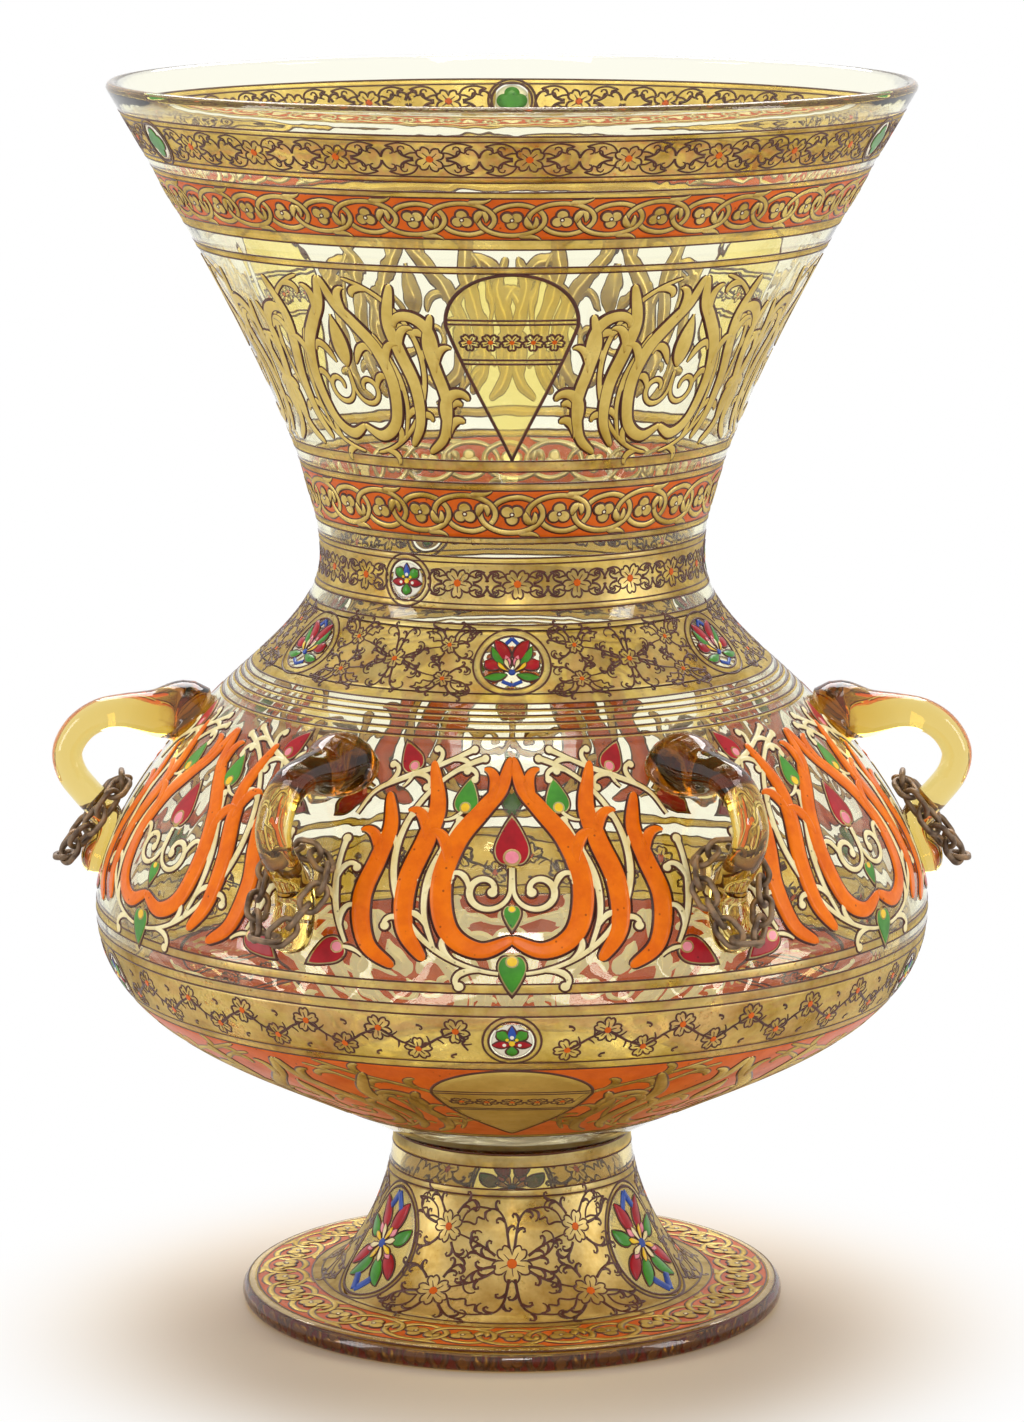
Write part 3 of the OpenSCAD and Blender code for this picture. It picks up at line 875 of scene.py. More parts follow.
def coil(x, y, start_r, end_r, start, end):
    """A spiral about a point, between two radii and two angles."""
    count = max(8, int(abs(math.radians(end - start)) * max(start_r, end_r) / COIL_STEP))
    a = np.radians(np.linspace(start, end, count))
    r = np.linspace(start_r, end_r, count)
    return np.c_[x + r * np.cos(a), y + r * np.sin(a)]


def swell(count, peak=0.5, power=0.8, least=0.04):
    """Widths of a leaf along its spine: a point at either end and full at the peak."""
    t = np.linspace(0, 1, count) ** (math.log(0.5) / math.log(peak))
    return np.maximum(np.sin(math.pi * t) ** power, least)


def sides(path, width):
    """The closed outline of a stroke."""
    step = np.gradient(path, axis=0)
    step /= np.maximum(np.linalg.norm(step, axis=1), 1e-9)[:, None]
    side = np.c_[-step[:, 1], step[:, 0]] * np.broadcast_to(width, len(path))[:, None] / 2
    return np.vstack([path + side, (path - side)[::-1]])


def heading_at(path, share):
    """A point on a path and the way the path goes there, in degrees."""
    i = int(share * (len(path) - 2))
    return path[i], math.degrees(math.atan2(*(path[i + 1] - path[i])[::-1]))


def disc(x, y, radius, count=20):
    return arc((x, y), radius, 0, 360 * (1 - 1 / count), count)


print("pen strokes have a point every", PEN_STEP, "mm")

# %% Strokes
# Heights of gold, lines and enamel above the glass, widths of the pens, and commas on a sprig
GOLD_H, LINE_H, ENAMEL_H = 0.05, 0.15, 0.32
PEN, FINE_PEN = 0.7, 0.64
TWIGS = 3


def tendril(paint, spot, x, y, heading, length, bend=0.0, curl=0.0, width=PEN, height=LINE_H):
    path = pen(x, y, heading, length, bend, curl)
    paint["line"].line(spot, path, width * np.linspace(1.2, 0.6, len(path)), height)
    return path


def comma(paint, spot, x, y, heading, length, side, width=PEN):
    """A short curl, thick where the brush was set down."""
    tendril(paint, spot, x, y, heading, length, side * 50, side * 230, width * 1.25)


def sprig(paint, spot, x, y, heading, length, bend, curl, twig, width):
    """A curling stem with commas to its left and right."""
    path = tendril(paint, spot, x, y, heading, length, bend, curl, width)
    for k in range(TWIGS):
        side = 1 if k % 2 else -1
        at, way = heading_at(path, 0.25 + 0.6 * k / TWIGS)
        comma(paint, spot, *at, way + side * 28, twig, side, width)


print("pens:", PEN, "and", FINE_PEN, "mm wide")

# %% Leaves and blossoms
# Outline of a leaf in line, in lengths of the leaf
WING = [(0, 0), (0.24, 0.2), (0.62, 0.22), (1, 0.02), (0.78, 0.02),
        (0.7, -0.15), (0.52, -0.03), (0.4, -0.19), (0.2, -0.06), (0, 0)]


def wing(paint, spot, x, y, heading, length, side, width=PEN):
    """A leaf in line only, with one smooth and one scalloped edge."""
    a = math.radians(heading)
    shape = through(WING, 40)[:-1] * [length, side * length]
    matrix = np.array([[math.cos(a), math.sin(a)], [-math.sin(a), math.cos(a)]])
    paint["line"].line(spot, shape @ matrix + [x, y], width, LINE_H, loop=True)


def leaf(paint, spot, ink, x, y, heading, length, width, bend=0.0, peak=0.5, power=0.8, height=ENAMEL_H,
         edge=PEN * 0.8):
    """A filled leaf or petal with a line round it."""
    path = pen(x, y, heading, length, bend)
    widths = width * swell(len(path), peak, power)
    paint[ink].stroke(spot, path, widths, height)
    paint["line"].line(spot, sides(path, widths), edge, height - 0.04, loop=True)


def blossom(paint, spot, x, y, size, turn, petals=5, height=LINE_H):
    """Notched petals in line, each with a vein, round an orange eye."""
    a = np.linspace(0, 2 * math.pi, petals * 12, endpoint=False)
    lobe = np.abs(np.sin(petals * a / 2))
    radius = size * (0.42 + 0.58 * lobe ** 0.55 - 0.17 * lobe ** 26)
    a = a + math.radians(turn)
    paint["line"].line(spot, np.c_[x + radius * np.cos(a), y + radius * np.sin(a)], PEN, height, loop=True)
    paint["coral"].pad(spot, disc(x, y, 0.27 * size, 12), height + 0.05)
    for k in range(petals):
        way = turn + 180 / petals + k * 360 / petals
        tendril(paint, spot, x, y, way, 0.62 * size, 10, 0, PEN * 0.6, height)


print("motifs: wing, leaf and blossom")

# %% Buds and rings
RING_H, RING_POINTS = GOLD_H + 0.06, 48


def bud(paint, spot, ink, core, x, y, heading, size):
    """A heart-shaped bud with a pointed tip and a paler heart on a short stalk."""
    a = np.linspace(-math.pi, math.pi, 48, endpoint=False)
    tip = 0.8 * np.exp(-(np.abs(a) / 0.42) ** 1.1)
    notch = 0.22 * np.exp(-((math.pi - np.abs(a)) / 0.4) ** 2)
    radius = size * (0.62 + tip - notch)
    way = math.radians(heading)
    outline = np.c_[x + radius * np.cos(a + way), y + radius * np.sin(a + way)]
    back = np.array([x, y]) - polar(0.24 * size, way)
    for coat, edge, lift in (("line", 0.62, 0.16), ("gold", 0.26, 0.08), (ink, 0.0, 0.0)):
        paint[coat].pad(spot, [x, y] + (outline - [x, y]) * (1 + edge / (0.62 * size)), ENAMEL_H - lift)
    paint["gold"].pad(spot, disc(*back, 0.38 * size), ENAMEL_H + 0.05)
    paint[core].pad(spot, disc(*back, 0.29 * size), ENAMEL_H + 0.12)


def ring(paint, spot, radius, width):
    """A gold ring with a line on both sides, round a roundel."""
    paint["gold"].stroke(spot, disc(0, 0, radius - width / 2, RING_POINTS), width, RING_H, loop=True)
    for edge in (radius, radius - width):
        paint["line"].line(spot, disc(0, 0, edge, RING_POINTS), PEN, RING_H + 0.08, loop=True)


print("motifs: bud and ring")

# %% [markdown]
# ## Lines round the lamp
# Between the bands run plain gold lines, each drawn with a brush held still while the lamp turned, with
# fine brown lines along both edges. A torus would stand out too far, so each line is a thin hoop that
# follows the skin and wavers a little. Their places are arc lengths down the skin from the top.

# %% Gold lines
VESSEL_LINES = [(23.2, 25.0), (37.6, 40.7), (46.2, 48.1), (105.6, 108.6), (112.2, 114.2), (127.8, 129.5),
                (151.5, 153.1), (172.6, 175.8), (255.9, 258.3), (261.8, 264.5), (279.6, 282.6),
                (344.6, 347.4)]
THIN_LINES = [177.6, 179.7, 181.9, 184.4, 187.0]
THIN_STEP, THIN_W = 0.55, 0.6
HOOP_W, HOOP_H = 0.5, LINE_H - 0.03
FOOT_LINES = [(0.4, 4.0), (9.9, 11.8), (48.5, 51.3), (66.6, 69.2)]

whole = Zone(vessel_skin, 0, vessel_skin.s[-1])
whole_foot = Zone(foot_skin, 0, foot_skin.s[-1])
for label, zone, pairs in (("vessel_lines", whole, VESSEL_LINES), ("foot_lines", whole_foot, FOOT_LINES)):
    paint = Palette(label)
    for top, bottom in pairs:
        paint["gold"].hoop(zone, (top + bottom) / 2, bottom - top, GOLD_H)
        for s in (top, bottom):
            paint["line"].hoop(zone, s, HOOP_W, HOOP_H)
    if zone is whole:
        for s in THIN_LINES:
            paint["line"].hoop(zone, s, HOOP_W, HOOP_H)
            paint["gold"].hoop(zone, s + THIN_STEP, THIN_W, GOLD_H)
    paint.lay()

# %% [markdown]
# ## Bands of flowers on gold
# Four bands have a gold ground with flowers drawn in brown and touched with orange. They could be one
# picture on the glass, but drawn strokes stay sharp and catch the light. Roundels interrupt the bands,
# so the film is laid between the roundels with hollow ends, and the drawing fills each panel.

# %% Band helpers
# Insets of the lines along the edges of a band, and the seeded chance that turns the blossoms
BAND_LINES = (0.0, 1.6)
chance = np.random.default_rng(11)


def panels(angles):
    """Pairs of neighbouring angles, all the way round."""
    ordered = sorted(angles)
    return list(zip(ordered, ordered[1:] + [ordered[0] + 360]))


def gold_ground(paint, zone, angles, bite, lines=BAND_LINES):
    for left, right in panels(angles):
        paint["gold"].belt(zone, GOLD_H, left, right, bite)
    for inset in lines:
        for s in (zone.top + inset, zone.bottom - inset):
            paint["line"].hoop(zone, s, HOOP_W, HOOP_H)


def spread(zone, left, right, bite, unit):
    """Angles of as many units as fit between two roundels."""
    margin = zone.degrees(bite)
    count = max(1, round(math.radians(right - left - 2 * margin) * zone.radius / unit))
    share = (np.arange(count) + 0.5) / count
    return left + margin + share * (right - left - 2 * margin)


def spray(paint, spot, size, unit, petals):
    """A blossom between four scalloped leaves, with commas beside it and where the next one starts."""
    blossom(paint, spot, 0, 0, 0.84 * size, 90 + chance.uniform(-8, 8), petals)
    reach = unit / 2
    base = 0.62 * size
    for flip in (1, -1):
        turn = 0 if flip > 0 else 180
        for up in (1, -1):
            side = flip * up
            wing(paint, spot, flip * base, up * 0.4 * size, turn + side * 12, 0.86 * (reach - base), side,
                 FINE_PEN)
            for x, y, way, length in ((0.84 * size, 0.06, side * 4, 0.62 * reach),
                                      (reach, 0.1, 180 - side * 74, 1.3 * size)):
                comma(paint, spot, flip * x, up * y * size, turn + way, length, side, FINE_PEN)


print("band helpers are ready")

# %% Flowers in the roundels
def small_bloom(paint, spot, r):
    """A blue bud over green and red petals, with yellow and white dots."""
    paint["white"].pad(spot, disc(0, 0, 0.86 * r, 32), 0.08)
    for side in (1, -1):
        leaf(paint, spot, "green", 0.1 * side * r, 0.1 * r, 90 - side * 52, 0.66 * r, 0.56 * r, 0, 0.6, 0.6)
        leaf(paint, spot, "red", 0.06 * side * r, -0.12 * r, 90 - side * 92, 0.76 * r, 0.4 * r, 0, 0.5, 0.8)
        paint["white"].pad(spot, disc(0.32 * side * r, -0.13 * r, 0.1 * r, 10), ENAMEL_H + 0.1)
        paint["yellow"].pad(spot, disc(0.2 * side * r, 0.14 * r, 0.09 * r, 10), ENAMEL_H + 0.1)
    leaf(paint, spot, "green", 0, -0.2 * r, -90, 0.54 * r, 0.56 * r, 0, 0.6, 0.6)
    leaf(paint, spot, "blue", 0, 0.1 * r, 90, 0.7 * r, 0.44 * r, 0, 0.36, 0.8)
    paint["yellow"].pad(spot, disc(0, -0.06 * r, 0.15 * r, 12), ENAMEL_H + 0.14)
    paint["white"].pad(spot, disc(0, 0.26 * r, 0.11 * r, 10), ENAMEL_H + 0.14)


# Ink, start, lean off the upright, length, width, bend, peak and power of the swell, and extra height of
# the petals of one side, in radii
LOTUS_PETALS = [
    ("pink", (0.08, 0.24), 18, 0.42, 0.24, 0, 0.5, 0.8, 0.0),
    ("red", (0.16, 0.46), 14, 0.86, 0.46, -34, 0.38, 0.6, 0.0),
    ("green", (0.28, 0.3), 46, 0.78, 0.3, 30, 0.42, 0.8, 0.0),
    ("red", (0.36, 0.16), 74, 0.58, 0.46, 20, 0.62, 0.5, 0.0),
    ("green", (0.16, -0.1), 112, 0.72, 0.34, 24, 0.5, 0.8, 0.0),
    ("yellow", (0.1, 0.02), 66, 0.5, 0.16, 40, 0.7, 0.8, 0.06),
    ("cream", (0.06, 0.08), 32, 0.44, 0.16, 20, 0.7, 0.8, 0.06)]


def lotus(paint, spot, r):
    """Red petals and green leaves that rise from a blue heart with yellow stamens."""
    heart = -0.34 * r
    for side in (1, -1):
        for ink, (x, y), lean, length, width, bend, peak, power, rise in LOTUS_PETALS:
            leaf(paint, spot, ink, side * x * r, heart + y * r, 90 - side * lean, length * r, width * r,
                 side * bend, peak, power, ENAMEL_H + rise)
        paint["blue"].stroke(spot, pen(0, 0.94 * r, -90 + side * 46, 0.3 * r), 0.14 * r, ENAMEL_H)
        paint["blue"].stroke(spot, pen(0, -0.86 * r, 90 - side * 62, 0.34 * r), 0.14 * r, ENAMEL_H)
    paint["blue"].pad(spot, disc(0, heart, 0.12 * r, 14), ENAMEL_H + 0.12)


def quatrefoil(paint, spot, r):
    """A green flower of four petals on white."""
    paint["white"].pad(spot, disc(0, 0, 0.88 * r, 32), 0.08)
    a = np.linspace(0, 2 * math.pi, 48, endpoint=False)
    radius = 0.78 * r * (0.7 + 0.3 * np.abs(np.cos(2 * a)) ** 0.8)
    outline = np.c_[radius * np.cos(a), radius * np.sin(a)]
    paint["line"].pad(spot, outline * 1.08, ENAMEL_H - 0.08)
    paint["green"].pad(spot, outline, ENAMEL_H)


print("roundel flowers: small bloom, lotus and quatrefoil")


# %% Rim band and lower neck band
def flower_band(label, zone, angles, bite, unit, size, petals, bloom, ring_w):
    paint = Palette(label)
    gold_ground(paint, zone, angles, bite)
    for left, right in panels(angles):
        for angle in spread(zone, left, right, bite, unit):
            spray(paint, zone.spot(angle), size, unit, petals)
    for angle in angles:
        ring(paint, zone.spot(angle), bite + 0.4, ring_w)
        bloom(paint, zone.spot(angle), bite + 0.3 - ring_w)
    paint.lay()


flower_band("rim_band", Zone(vessel_skin, 6.1, 20.1), (-65, 70, 180), 6.5, 25.5, 5.0, 4, quatrefoil, 1.0)
flower_band("neck_band", Zone(vessel_skin, 133.4, 147.6), (-32, 88, 208), 6.6, 16.6, 5.0, 5, small_bloom,
            1.4)


# %% Shoulder band
# Heading, bend, curl and length of the sprigs of one quarter, from the middle and from a corner, and
# heading and side of the two leaves at a corner
MIDDLE_SPRIGS = [(10, 30, 190, 0.26), (80, 18, -260, 0.3)]
CORNER_SPRIGS = [(8, 40, 200, 0.25), (62, -30, -230, 0.23), (122, 30, 230, 0.2), (-50, 60, 220, 0.23),
                 (-112, -30, -200, 0.16)]
SPRAY_WINGS = [(26, 1), (158, -1)]


def spray_panel(paint, spot, wide, high, twig, width):
    """A blossom in the middle, four smaller ones in the corners, and sprigs from all of them."""
    span = min(wide, 2 * high)
    blossom(paint, spot, 0, 0, 0.17 * high, 90)
    for flip in (1, -1):
        turn = 0 if flip > 0 else 180
        for up in (1, -1):
            corner = np.array([flip * 0.33 * wide, up * 0.27 * high])
            blossom(paint, spot, *corner, 0.14 * high, 90 + flip * 20)
            hand = flip * up
            slope = math.degrees(math.atan2(corner[1], corner[0]))
            start = polar(0.15 * high, math.radians(slope))
            gap = np.linalg.norm(corner) - 0.26 * high
            sprig(paint, spot, *start, slope + hand * 12, gap, -hand * 24, 0, twig, width)
            for middle, sprigs in ((np.zeros(2), MIDDLE_SPRIGS), (corner, CORNER_SPRIGS)):
                for way, bend, curl, reach in sprigs:
                    heading = turn + hand * way
                    start = middle + polar(0.13 * high, math.radians(heading))
                    sprig(paint, spot, *start, heading, reach * span, hand * bend, hand * curl, twig, width)
            for way, side in SPRAY_WINGS:
                heading = turn + hand * way
                start = corner + polar(0.13 * high, math.radians(heading))
                wing(paint, spot, *start, heading, 0.3 * high, side * hand, 0.8 * width)


shoulder_band = Zone(vessel_skin, 153.1, 172.6)
shoulder_paint = Palette("shoulder_band")
SHOULDER_ROUNDELS = tuple(range(-120, 240, 60))
bite = 1.02 * shoulder_band.half
gold_ground(shoulder_paint, shoulder_band, SHOULDER_ROUNDELS, bite, (0.0,))
panel_w = math.radians(60) * shoulder_band.radius - 2 * bite
for angle in SHOULDER_ROUNDELS:
    spray_panel(shoulder_paint, shoulder_band.spot(angle + 30), panel_w, 2 * shoulder_band.half, 2.8, 0.75)
    ring(shoulder_paint, shoulder_band.spot(angle), bite + 0.3, 2.0)
    lotus(shoulder_paint, shoulder_band.spot(angle), bite - 1.9)
shoulder_paint.lay()


# %% Blossom band under the belly
def blossom_branch(paint, spot, step, up, high):
    """One blossom of a zigzag branch, with its knotted wood to the next one and a few thorns."""
    here, there = np.array([0, up * 0.2 * high]), np.array([step, -up * 0.2 * high])
    wood = through([here, here * 0.4 + there * 0.2 + [1.6, 0], here * 0.3 + there * 0.55, there], 20)
    paint["line"].line(spot, wood, PEN * np.linspace(1.7, 1.0, len(wood)), LINE_H - 0.01)
    blossom(paint, spot, *here, 0.26 * high, chance.uniform(0, 72))
    for share, side in ((0.35, 1), (0.6, -1), (0.75, 1)):
        at, way = heading_at(wood, share)
        tendril(paint, spot, *at, way + side * 55, 0.16 * high, side * 30)
    comma(paint, spot, 0, -up * 0.3 * high, 180 if up > 0 else 0, 0.2 * high, up)


blossom_band = Zone(vessel_skin, 264.5, 279.6)
blossom_paint = Palette("blossom_band")
BLOSSOM_ROUNDELS = tuple(range(-144, 216, 72))
# Room beside a roundel, length of one branch, and length of the last branch of a panel
BRANCH_GAP, BRANCH_L, LAST_BRANCH_L = 2, 10.5, 3.0
bite = 0.98 * blossom_band.half
gold_ground(blossom_paint, blossom_band, BLOSSOM_ROUNDELS, bite, ())
for left, right in panels(BLOSSOM_ROUNDELS):
    places = spread(blossom_band, left, right, bite + BRANCH_GAP, BRANCH_L)
    gap = math.radians(places[1] - places[0]) * blossom_band.radius
    for k, angle in enumerate(places):
        step = gap if angle < places[-1] else LAST_BRANCH_L
        up = 1 if k % 2 else -1
        blossom_branch(blossom_paint, blossom_band.spot(angle), step, up, 2 * blossom_band.half)
for angle in BLOSSOM_ROUNDELS:
    ring(blossom_paint, blossom_band.spot(angle), bite + 0.2, 1.5)
    small_bloom(blossom_paint, blossom_band.spot(angle), bite - 1.2)
blossom_paint.lay()

# %% [markdown]
# ## Interlaced bands
# Two orange bands on the neck and one on the brim of the foot carry gold stems that coil round small
# clovers, each coil caught in the next one. A flat drawing could only hint at that. So the stems are laid
# at heights that rise and fall, and they really go over and under each other. A wider brown stroke under
# each stem gives it its dark edges, and a pale ground between the two keeps the orange from showing
# through the gold.

# %% Interlace
STEM_LOW, STEM_WAVE, ORANGE_H = 0.26, 0.08, 0.1
EDGE = 0.42
PETAL_RISE = 0.05
# Heading, length, width and bend of the two leaves where a coil starts, in steps and half heights
COIL_LEAVES = [(150, 0.34, 0.36, -70), (50, 0.3, 0.26, 60)]


def stem(paint, spot, path, width, height, ground="ground", gold="gold"):
    """A gold stroke over a pale ground on a wider brown one."""
    paint["line"].stroke(spot, path, width + 2 * EDGE, height - 0.06)
    paint[ground].stroke(spot, path, width, height - 0.02)
    paint[gold].stroke(spot, path, width, height)


def trefoil(paint, spot, x, y, size, turn, height):
    """A clover: three round petals, each laid over the one before, and a small eye."""
    petal, eye = 0.66 * size, 0.34 * size
    for k in range(3):
        at = polar(0.54 * size, math.radians(turn + 120 * k)) + [x, y]
        lift = height + PETAL_RISE * k
        paint["line"].pad(spot, disc(*at, petal + EDGE, 16), lift - 0.02)
        paint["ground"].pad(spot, disc(*at, petal, 16), lift + 0.02)
        paint["gold"].pad(spot, disc(*at, petal, 16), lift + 0.04)
    paint["line"].pad(spot, disc(x, y, eye, 12), height + 2 * PETAL_RISE + 0.07)
    paint["ground"].pad(spot, disc(x, y, 0.5 * eye, 10), height + 2 * PETAL_RISE + 0.09)


def interlace(paint, zone, unit):
    """A row of coils that start by turns above and below, each round a clover and with two leaves."""
    paint["coral"].belt(zone, ORANGE_H)
    count = 2 * round(math.pi * zone.radius / unit)
    step, high = 2 * math.pi * zone.radius / count, zone.half
    t = np.linspace(0, 1, 60)
    for k in range(count):
        spot = zone.spot(360 / count * k)
        up = 1 if k % 2 else -1
        a = np.radians(212 - 400 * t)
        shrink = np.interp(t, [0, 0.72, 1], [1, 0.94, 0.5])
        path = np.c_[0.68 * step * shrink * np.cos(a), up * 0.8 * high * shrink * np.sin(a)]
        stem(paint, spot, path, 0.24 * high, STEM_LOW + STEM_WAVE * np.sin(3 * a + 0.6))
        trefoil(paint, spot, 0, 0, 0.4 * high, 90 * up, STEM_LOW + 0.06)
        for heading, length, wide, bend in COIL_LEAVES:
            twig = pen(*path[0], up * heading, length * step, up * bend)
            widths = wide * high * swell(len(twig), 0.4, 0.7)
            stem(paint, spot, twig, widths, STEM_LOW + 0.14)
        horn = pen(0.12 * step, up * 0.8 * high, 0, 0.5 * step, up * 4, up * 40)
        stem(paint, spot, horn, 0.3 * high * swell(len(horn), 0.25, 0.7), STEM_LOW - 0.06)


for label, zone, unit in (("upper_interlace", Zone(vessel_skin, 25.0, 37.6), 13.0),
                          ("lower_interlace", Zone(vessel_skin, 114.2, 127.8), 12.6),
                          ("brim_interlace", Zone(foot_skin, 51.3, 66.6), 13.5)):
    paint = Palette(label)
    interlace(paint, zone, unit)
    paint.lay()

# %% [markdown]
# ## Split-leaf scrolls
# The large ornament of the neck, the belly and the underside is one plant: split leaves that rise from a
# common root and close in a pointed arch, with thin vines and hooked shoots in the gaps. A leaf could be
# a filled curve, but a stroke that swells along its spine follows the round glass better. The plant is
# drawn about its own middle line and mirrored, so only one half is given. On the neck and the
# underside it is gold and stands between three drop-shaped panels.

# %% Split leaves
# Each leaf: points of its spine, its width, and the shares of the way at which a side leaf splits off
LEAVES = [
    ([(-0.6, -22.2), (7.6, -25.4), (15.2, -20.4), (17.6, -8), (14.4, 4), (8.0, 13), (3.0, 19.6),
      (0.4, 28.6)], 5.6, (0.52, 0.8)),
    ([(20.5, -28.4), (25.6, -20), (26.2, -8), (22.8, 4), (21.0, 14), (24.4, 27.0)], 5.5, (0.6,)),
    ([(27.6, -30.4), (34.6, -24.6), (37.2, -13), (34.8, -2), (33.2, 7), (35.8, 17.0)], 5.0, (0.62,))]
# Each vine: its path, and the share of the way and the side of each hooked shoot
VINES = [
    (coil(0, -1, 30.4, 30.4, -84, 74),
     ((0.05, -1), (0.13, 1), (0.3, -1), (0.4, 1), (0.55, -1), (0.66, 1), (0.9, 1))),
    (np.vstack([[(0.3, -3.6), (0.3, -6.4)], coil(6.4, -9.6, 6.1, 1.7, 172, 560)]), ((0.5, -1),)),
    (through([(18.0, -26), (21.2, -16), (20.8, -6), (17.4, 3), (14.2, 9.6)], 30),
     ((0.2, -1), (0.45, 1), (0.75, -1))),
    (coil(0, -2, 46.0, 45.0, -30, 6), ((0.15, 1), (0.4, -1), (0.6, 1))),
    (through([(44, 10), (40.5, 17), (33, 21.4), (23, 25.6), (12, 31)], 30),
     ((0.3, -1), (0.5, 1), (0.66, -1), (0.84, 1)))]
SHOOT_L = 9.0


def split_leaves(paint, spot, draw):
    """Draws the leaves of one half, each side leaf before the leaf that it springs from."""
    for points, width, splits in LEAVES:
        path = through(points, 80)
        for share in splits:
            at, way = heading_at(path, share)
            draw(paint, spot, pen(*at, way - 14, 12.5, -30, -95), 0.62 * width, 0.5, 0.6)
        draw(paint, spot, path, width, 0.5, 0.3)


def shoots(path, sprouts):
    """Hooked side shoots of a vine, each given as a share of the way and a side."""
    for share, side in sprouts:
        at, way = heading_at(path, share)
        yield pen(*at, way + side * 10, SHOOT_L, side * 34, side * 130)


print("one plant has", 2 * len(LEAVES), "leaves and up to", 2 * len(VINES), "vines")

# %% Gold plants
# Heights of gold strokes on glass and on orange, how far leaves rise over vines, the least share of the
# width at the tips, and depth and extra width of the painted glow
ON_GLASS_H, ON_ORANGE_H, LEAF_LIFT, TIP = 0.12, 0.2, 0.1, 0.1
GLOW_H, GLOW_EXTRA = -0.07, 0.3


def gold_leaf(paint, spot, path, width, peak, power, lift=LEAF_LIFT):
    widths = width * swell(len(path), peak, power, TIP)
    stem(paint, spot, path, widths, ON_GLASS_H + lift, "straw", "leaf_gold")


def gold_leaf_on_orange(paint, spot, path, width, peak, power, lift=LEAF_LIFT):
    """No orange lies under real gold strokes: from inside, a painted glow stands in for light behind them.
    """
    widths = width * swell(len(path), peak, power, TIP)
    paint["glow"].stroke(spot, path, widths + GLOW_EXTRA, GLOW_H)
    stem(paint, spot, path, widths, ON_ORANGE_H + lift)


def gold_vines(paint, spot, count, draw):
    for path, sprouts in VINES[:count]:
        for shoot in shoots(path, sprouts):
            draw(paint, spot, shoot, 2.7, 0.62, 0.5, 0.0)
        draw(paint, spot, path, 1.9, 0.5, 0.2, 0.0)


print("gold vines stand", ON_GLASS_H, "mm above the glass, or", ON_ORANGE_H, "mm where it is orange")

# %% Drop-shaped panels
# Points of a drop's outline, places of its lines in widths from its middle, points of each line, and
# number of its flowers
DROP_POINTS, DROP_LINES, LINE_POINTS, DROP_FLOWERS = 96, (0.02, 0.06, -0.32, -0.36), 24, 5


def drop_outline(wide, top, bottom, sharp):
    """A drop: round above and drawn to a sharp or a blunt point below."""
    a = np.linspace(0, 2 * math.pi, DROP_POINTS, endpoint=False)
    up = np.sin(a)
    centre = top - 0.5 * wide * (1 if sharp else 0.8)
    x = wide / 2 * np.cos(a) * np.where(up < 0, np.maximum(1 + up, 0) ** (0.55 if sharp else 0.3), 1)
    return np.c_[x, centre + up * np.where(up > 0, top - centre, centre - bottom)], centre


def drop(paint, spot, ink, wide, top, bottom, height, sharp):
    """A gold panel with a row of small flowers between two pairs of lines."""
    outline, centre = drop_outline(wide, top, bottom, sharp)
    paint[ink].pad(spot, outline, height)
    paint["line"].line(spot, outline, PEN * 1.5, height + 0.12, loop=True)
    for at in DROP_LINES:
        y = centre + at * wide
        half = outline[DROP_POINTS // 2:] if y < centre else outline[:DROP_POINTS // 2]
        reach = np.abs(half[np.abs(half[:, 1] - y).argmin(), 0])
        across = np.c_[np.linspace(-reach, reach, LINE_POINTS), np.full(LINE_POINTS, y)]
        paint["line"].line(spot, across, PEN, height + 0.1)
    for k in range(DROP_FLOWERS):
        x = (k - DROP_FLOWERS // 2) * 0.165 * wide
        blossom(paint, spot, x, centre - 0.15 * wide, 0.085 * wide, 90, 5, height + 0.1)


print("a drop has", DROP_FLOWERS, "flowers between", len(DROP_LINES), "lines")

# %% Neck and underside
# Angles of the drops, and from a drop to the plants, to the middle between them and to all small shoots,
# which are mirrored where the second number is -1
DROP_ANGLES, PLANT_ANGLES, MID_ANGLE = (0, 120, 240), (37, 83), 60
SHOOT_SIDES = ((MID_ANGLE, 1), (MID_ANGLE, -1), (13, 1), (107, -1))


def scroll_zone(label, zone, size, draw, vines, drop_ink, drop_w, drop_h, sharp, low):
    """Three drops with two plants between each pair, and small shoots beside them."""
    paint = Palette(label)
    for angle in DROP_ANGLES:
        drop(paint, zone.spot(angle), drop_ink, drop_w, zone.half - 0.4, low - zone.half, drop_h, sharp)
        for side in PLANT_ANGLES:
            for flip in (1, -1):
                spot = zone.spot(angle + side, y=0.6, flip=flip, size=size)
                gold_vines(paint, spot, vines, draw)
                split_leaves(paint, spot, draw)
                draw(paint, spot, pen(4.2, -1.5, 62, 13, 10, -210), 3.0, 0.55, 0.5, 0.0)
            draw(paint, zone.spot(angle + side, size=size), pen(0, -2, 90, 18), 7.6, 0.4, 0.9)
        for side, flip in SHOOT_SIDES:
            spot = zone.spot(angle + side, flip=flip)
            low_stem, high_stem = pen(2.2, -22, 82, 20, 0, 190), pen(2.6, 2, 84, 22, -10, -190)
            if side != MID_ANGLE:
                for shoot in shoots(low_stem, ((0.02, 1), (0.3, 1))):
                    draw(paint, spot, shoot, 2.9, 0.62, 0.5, 0.0)
            for shoot in shoots(high_stem, ((0.2, -1),)):
                draw(paint, spot, shoot, 2.9, 0.62, 0.5, 0.0)
            for path in (low_stem, high_stem):
                draw(paint, spot, path, 3.8, 0.6, 0.5)
    return paint


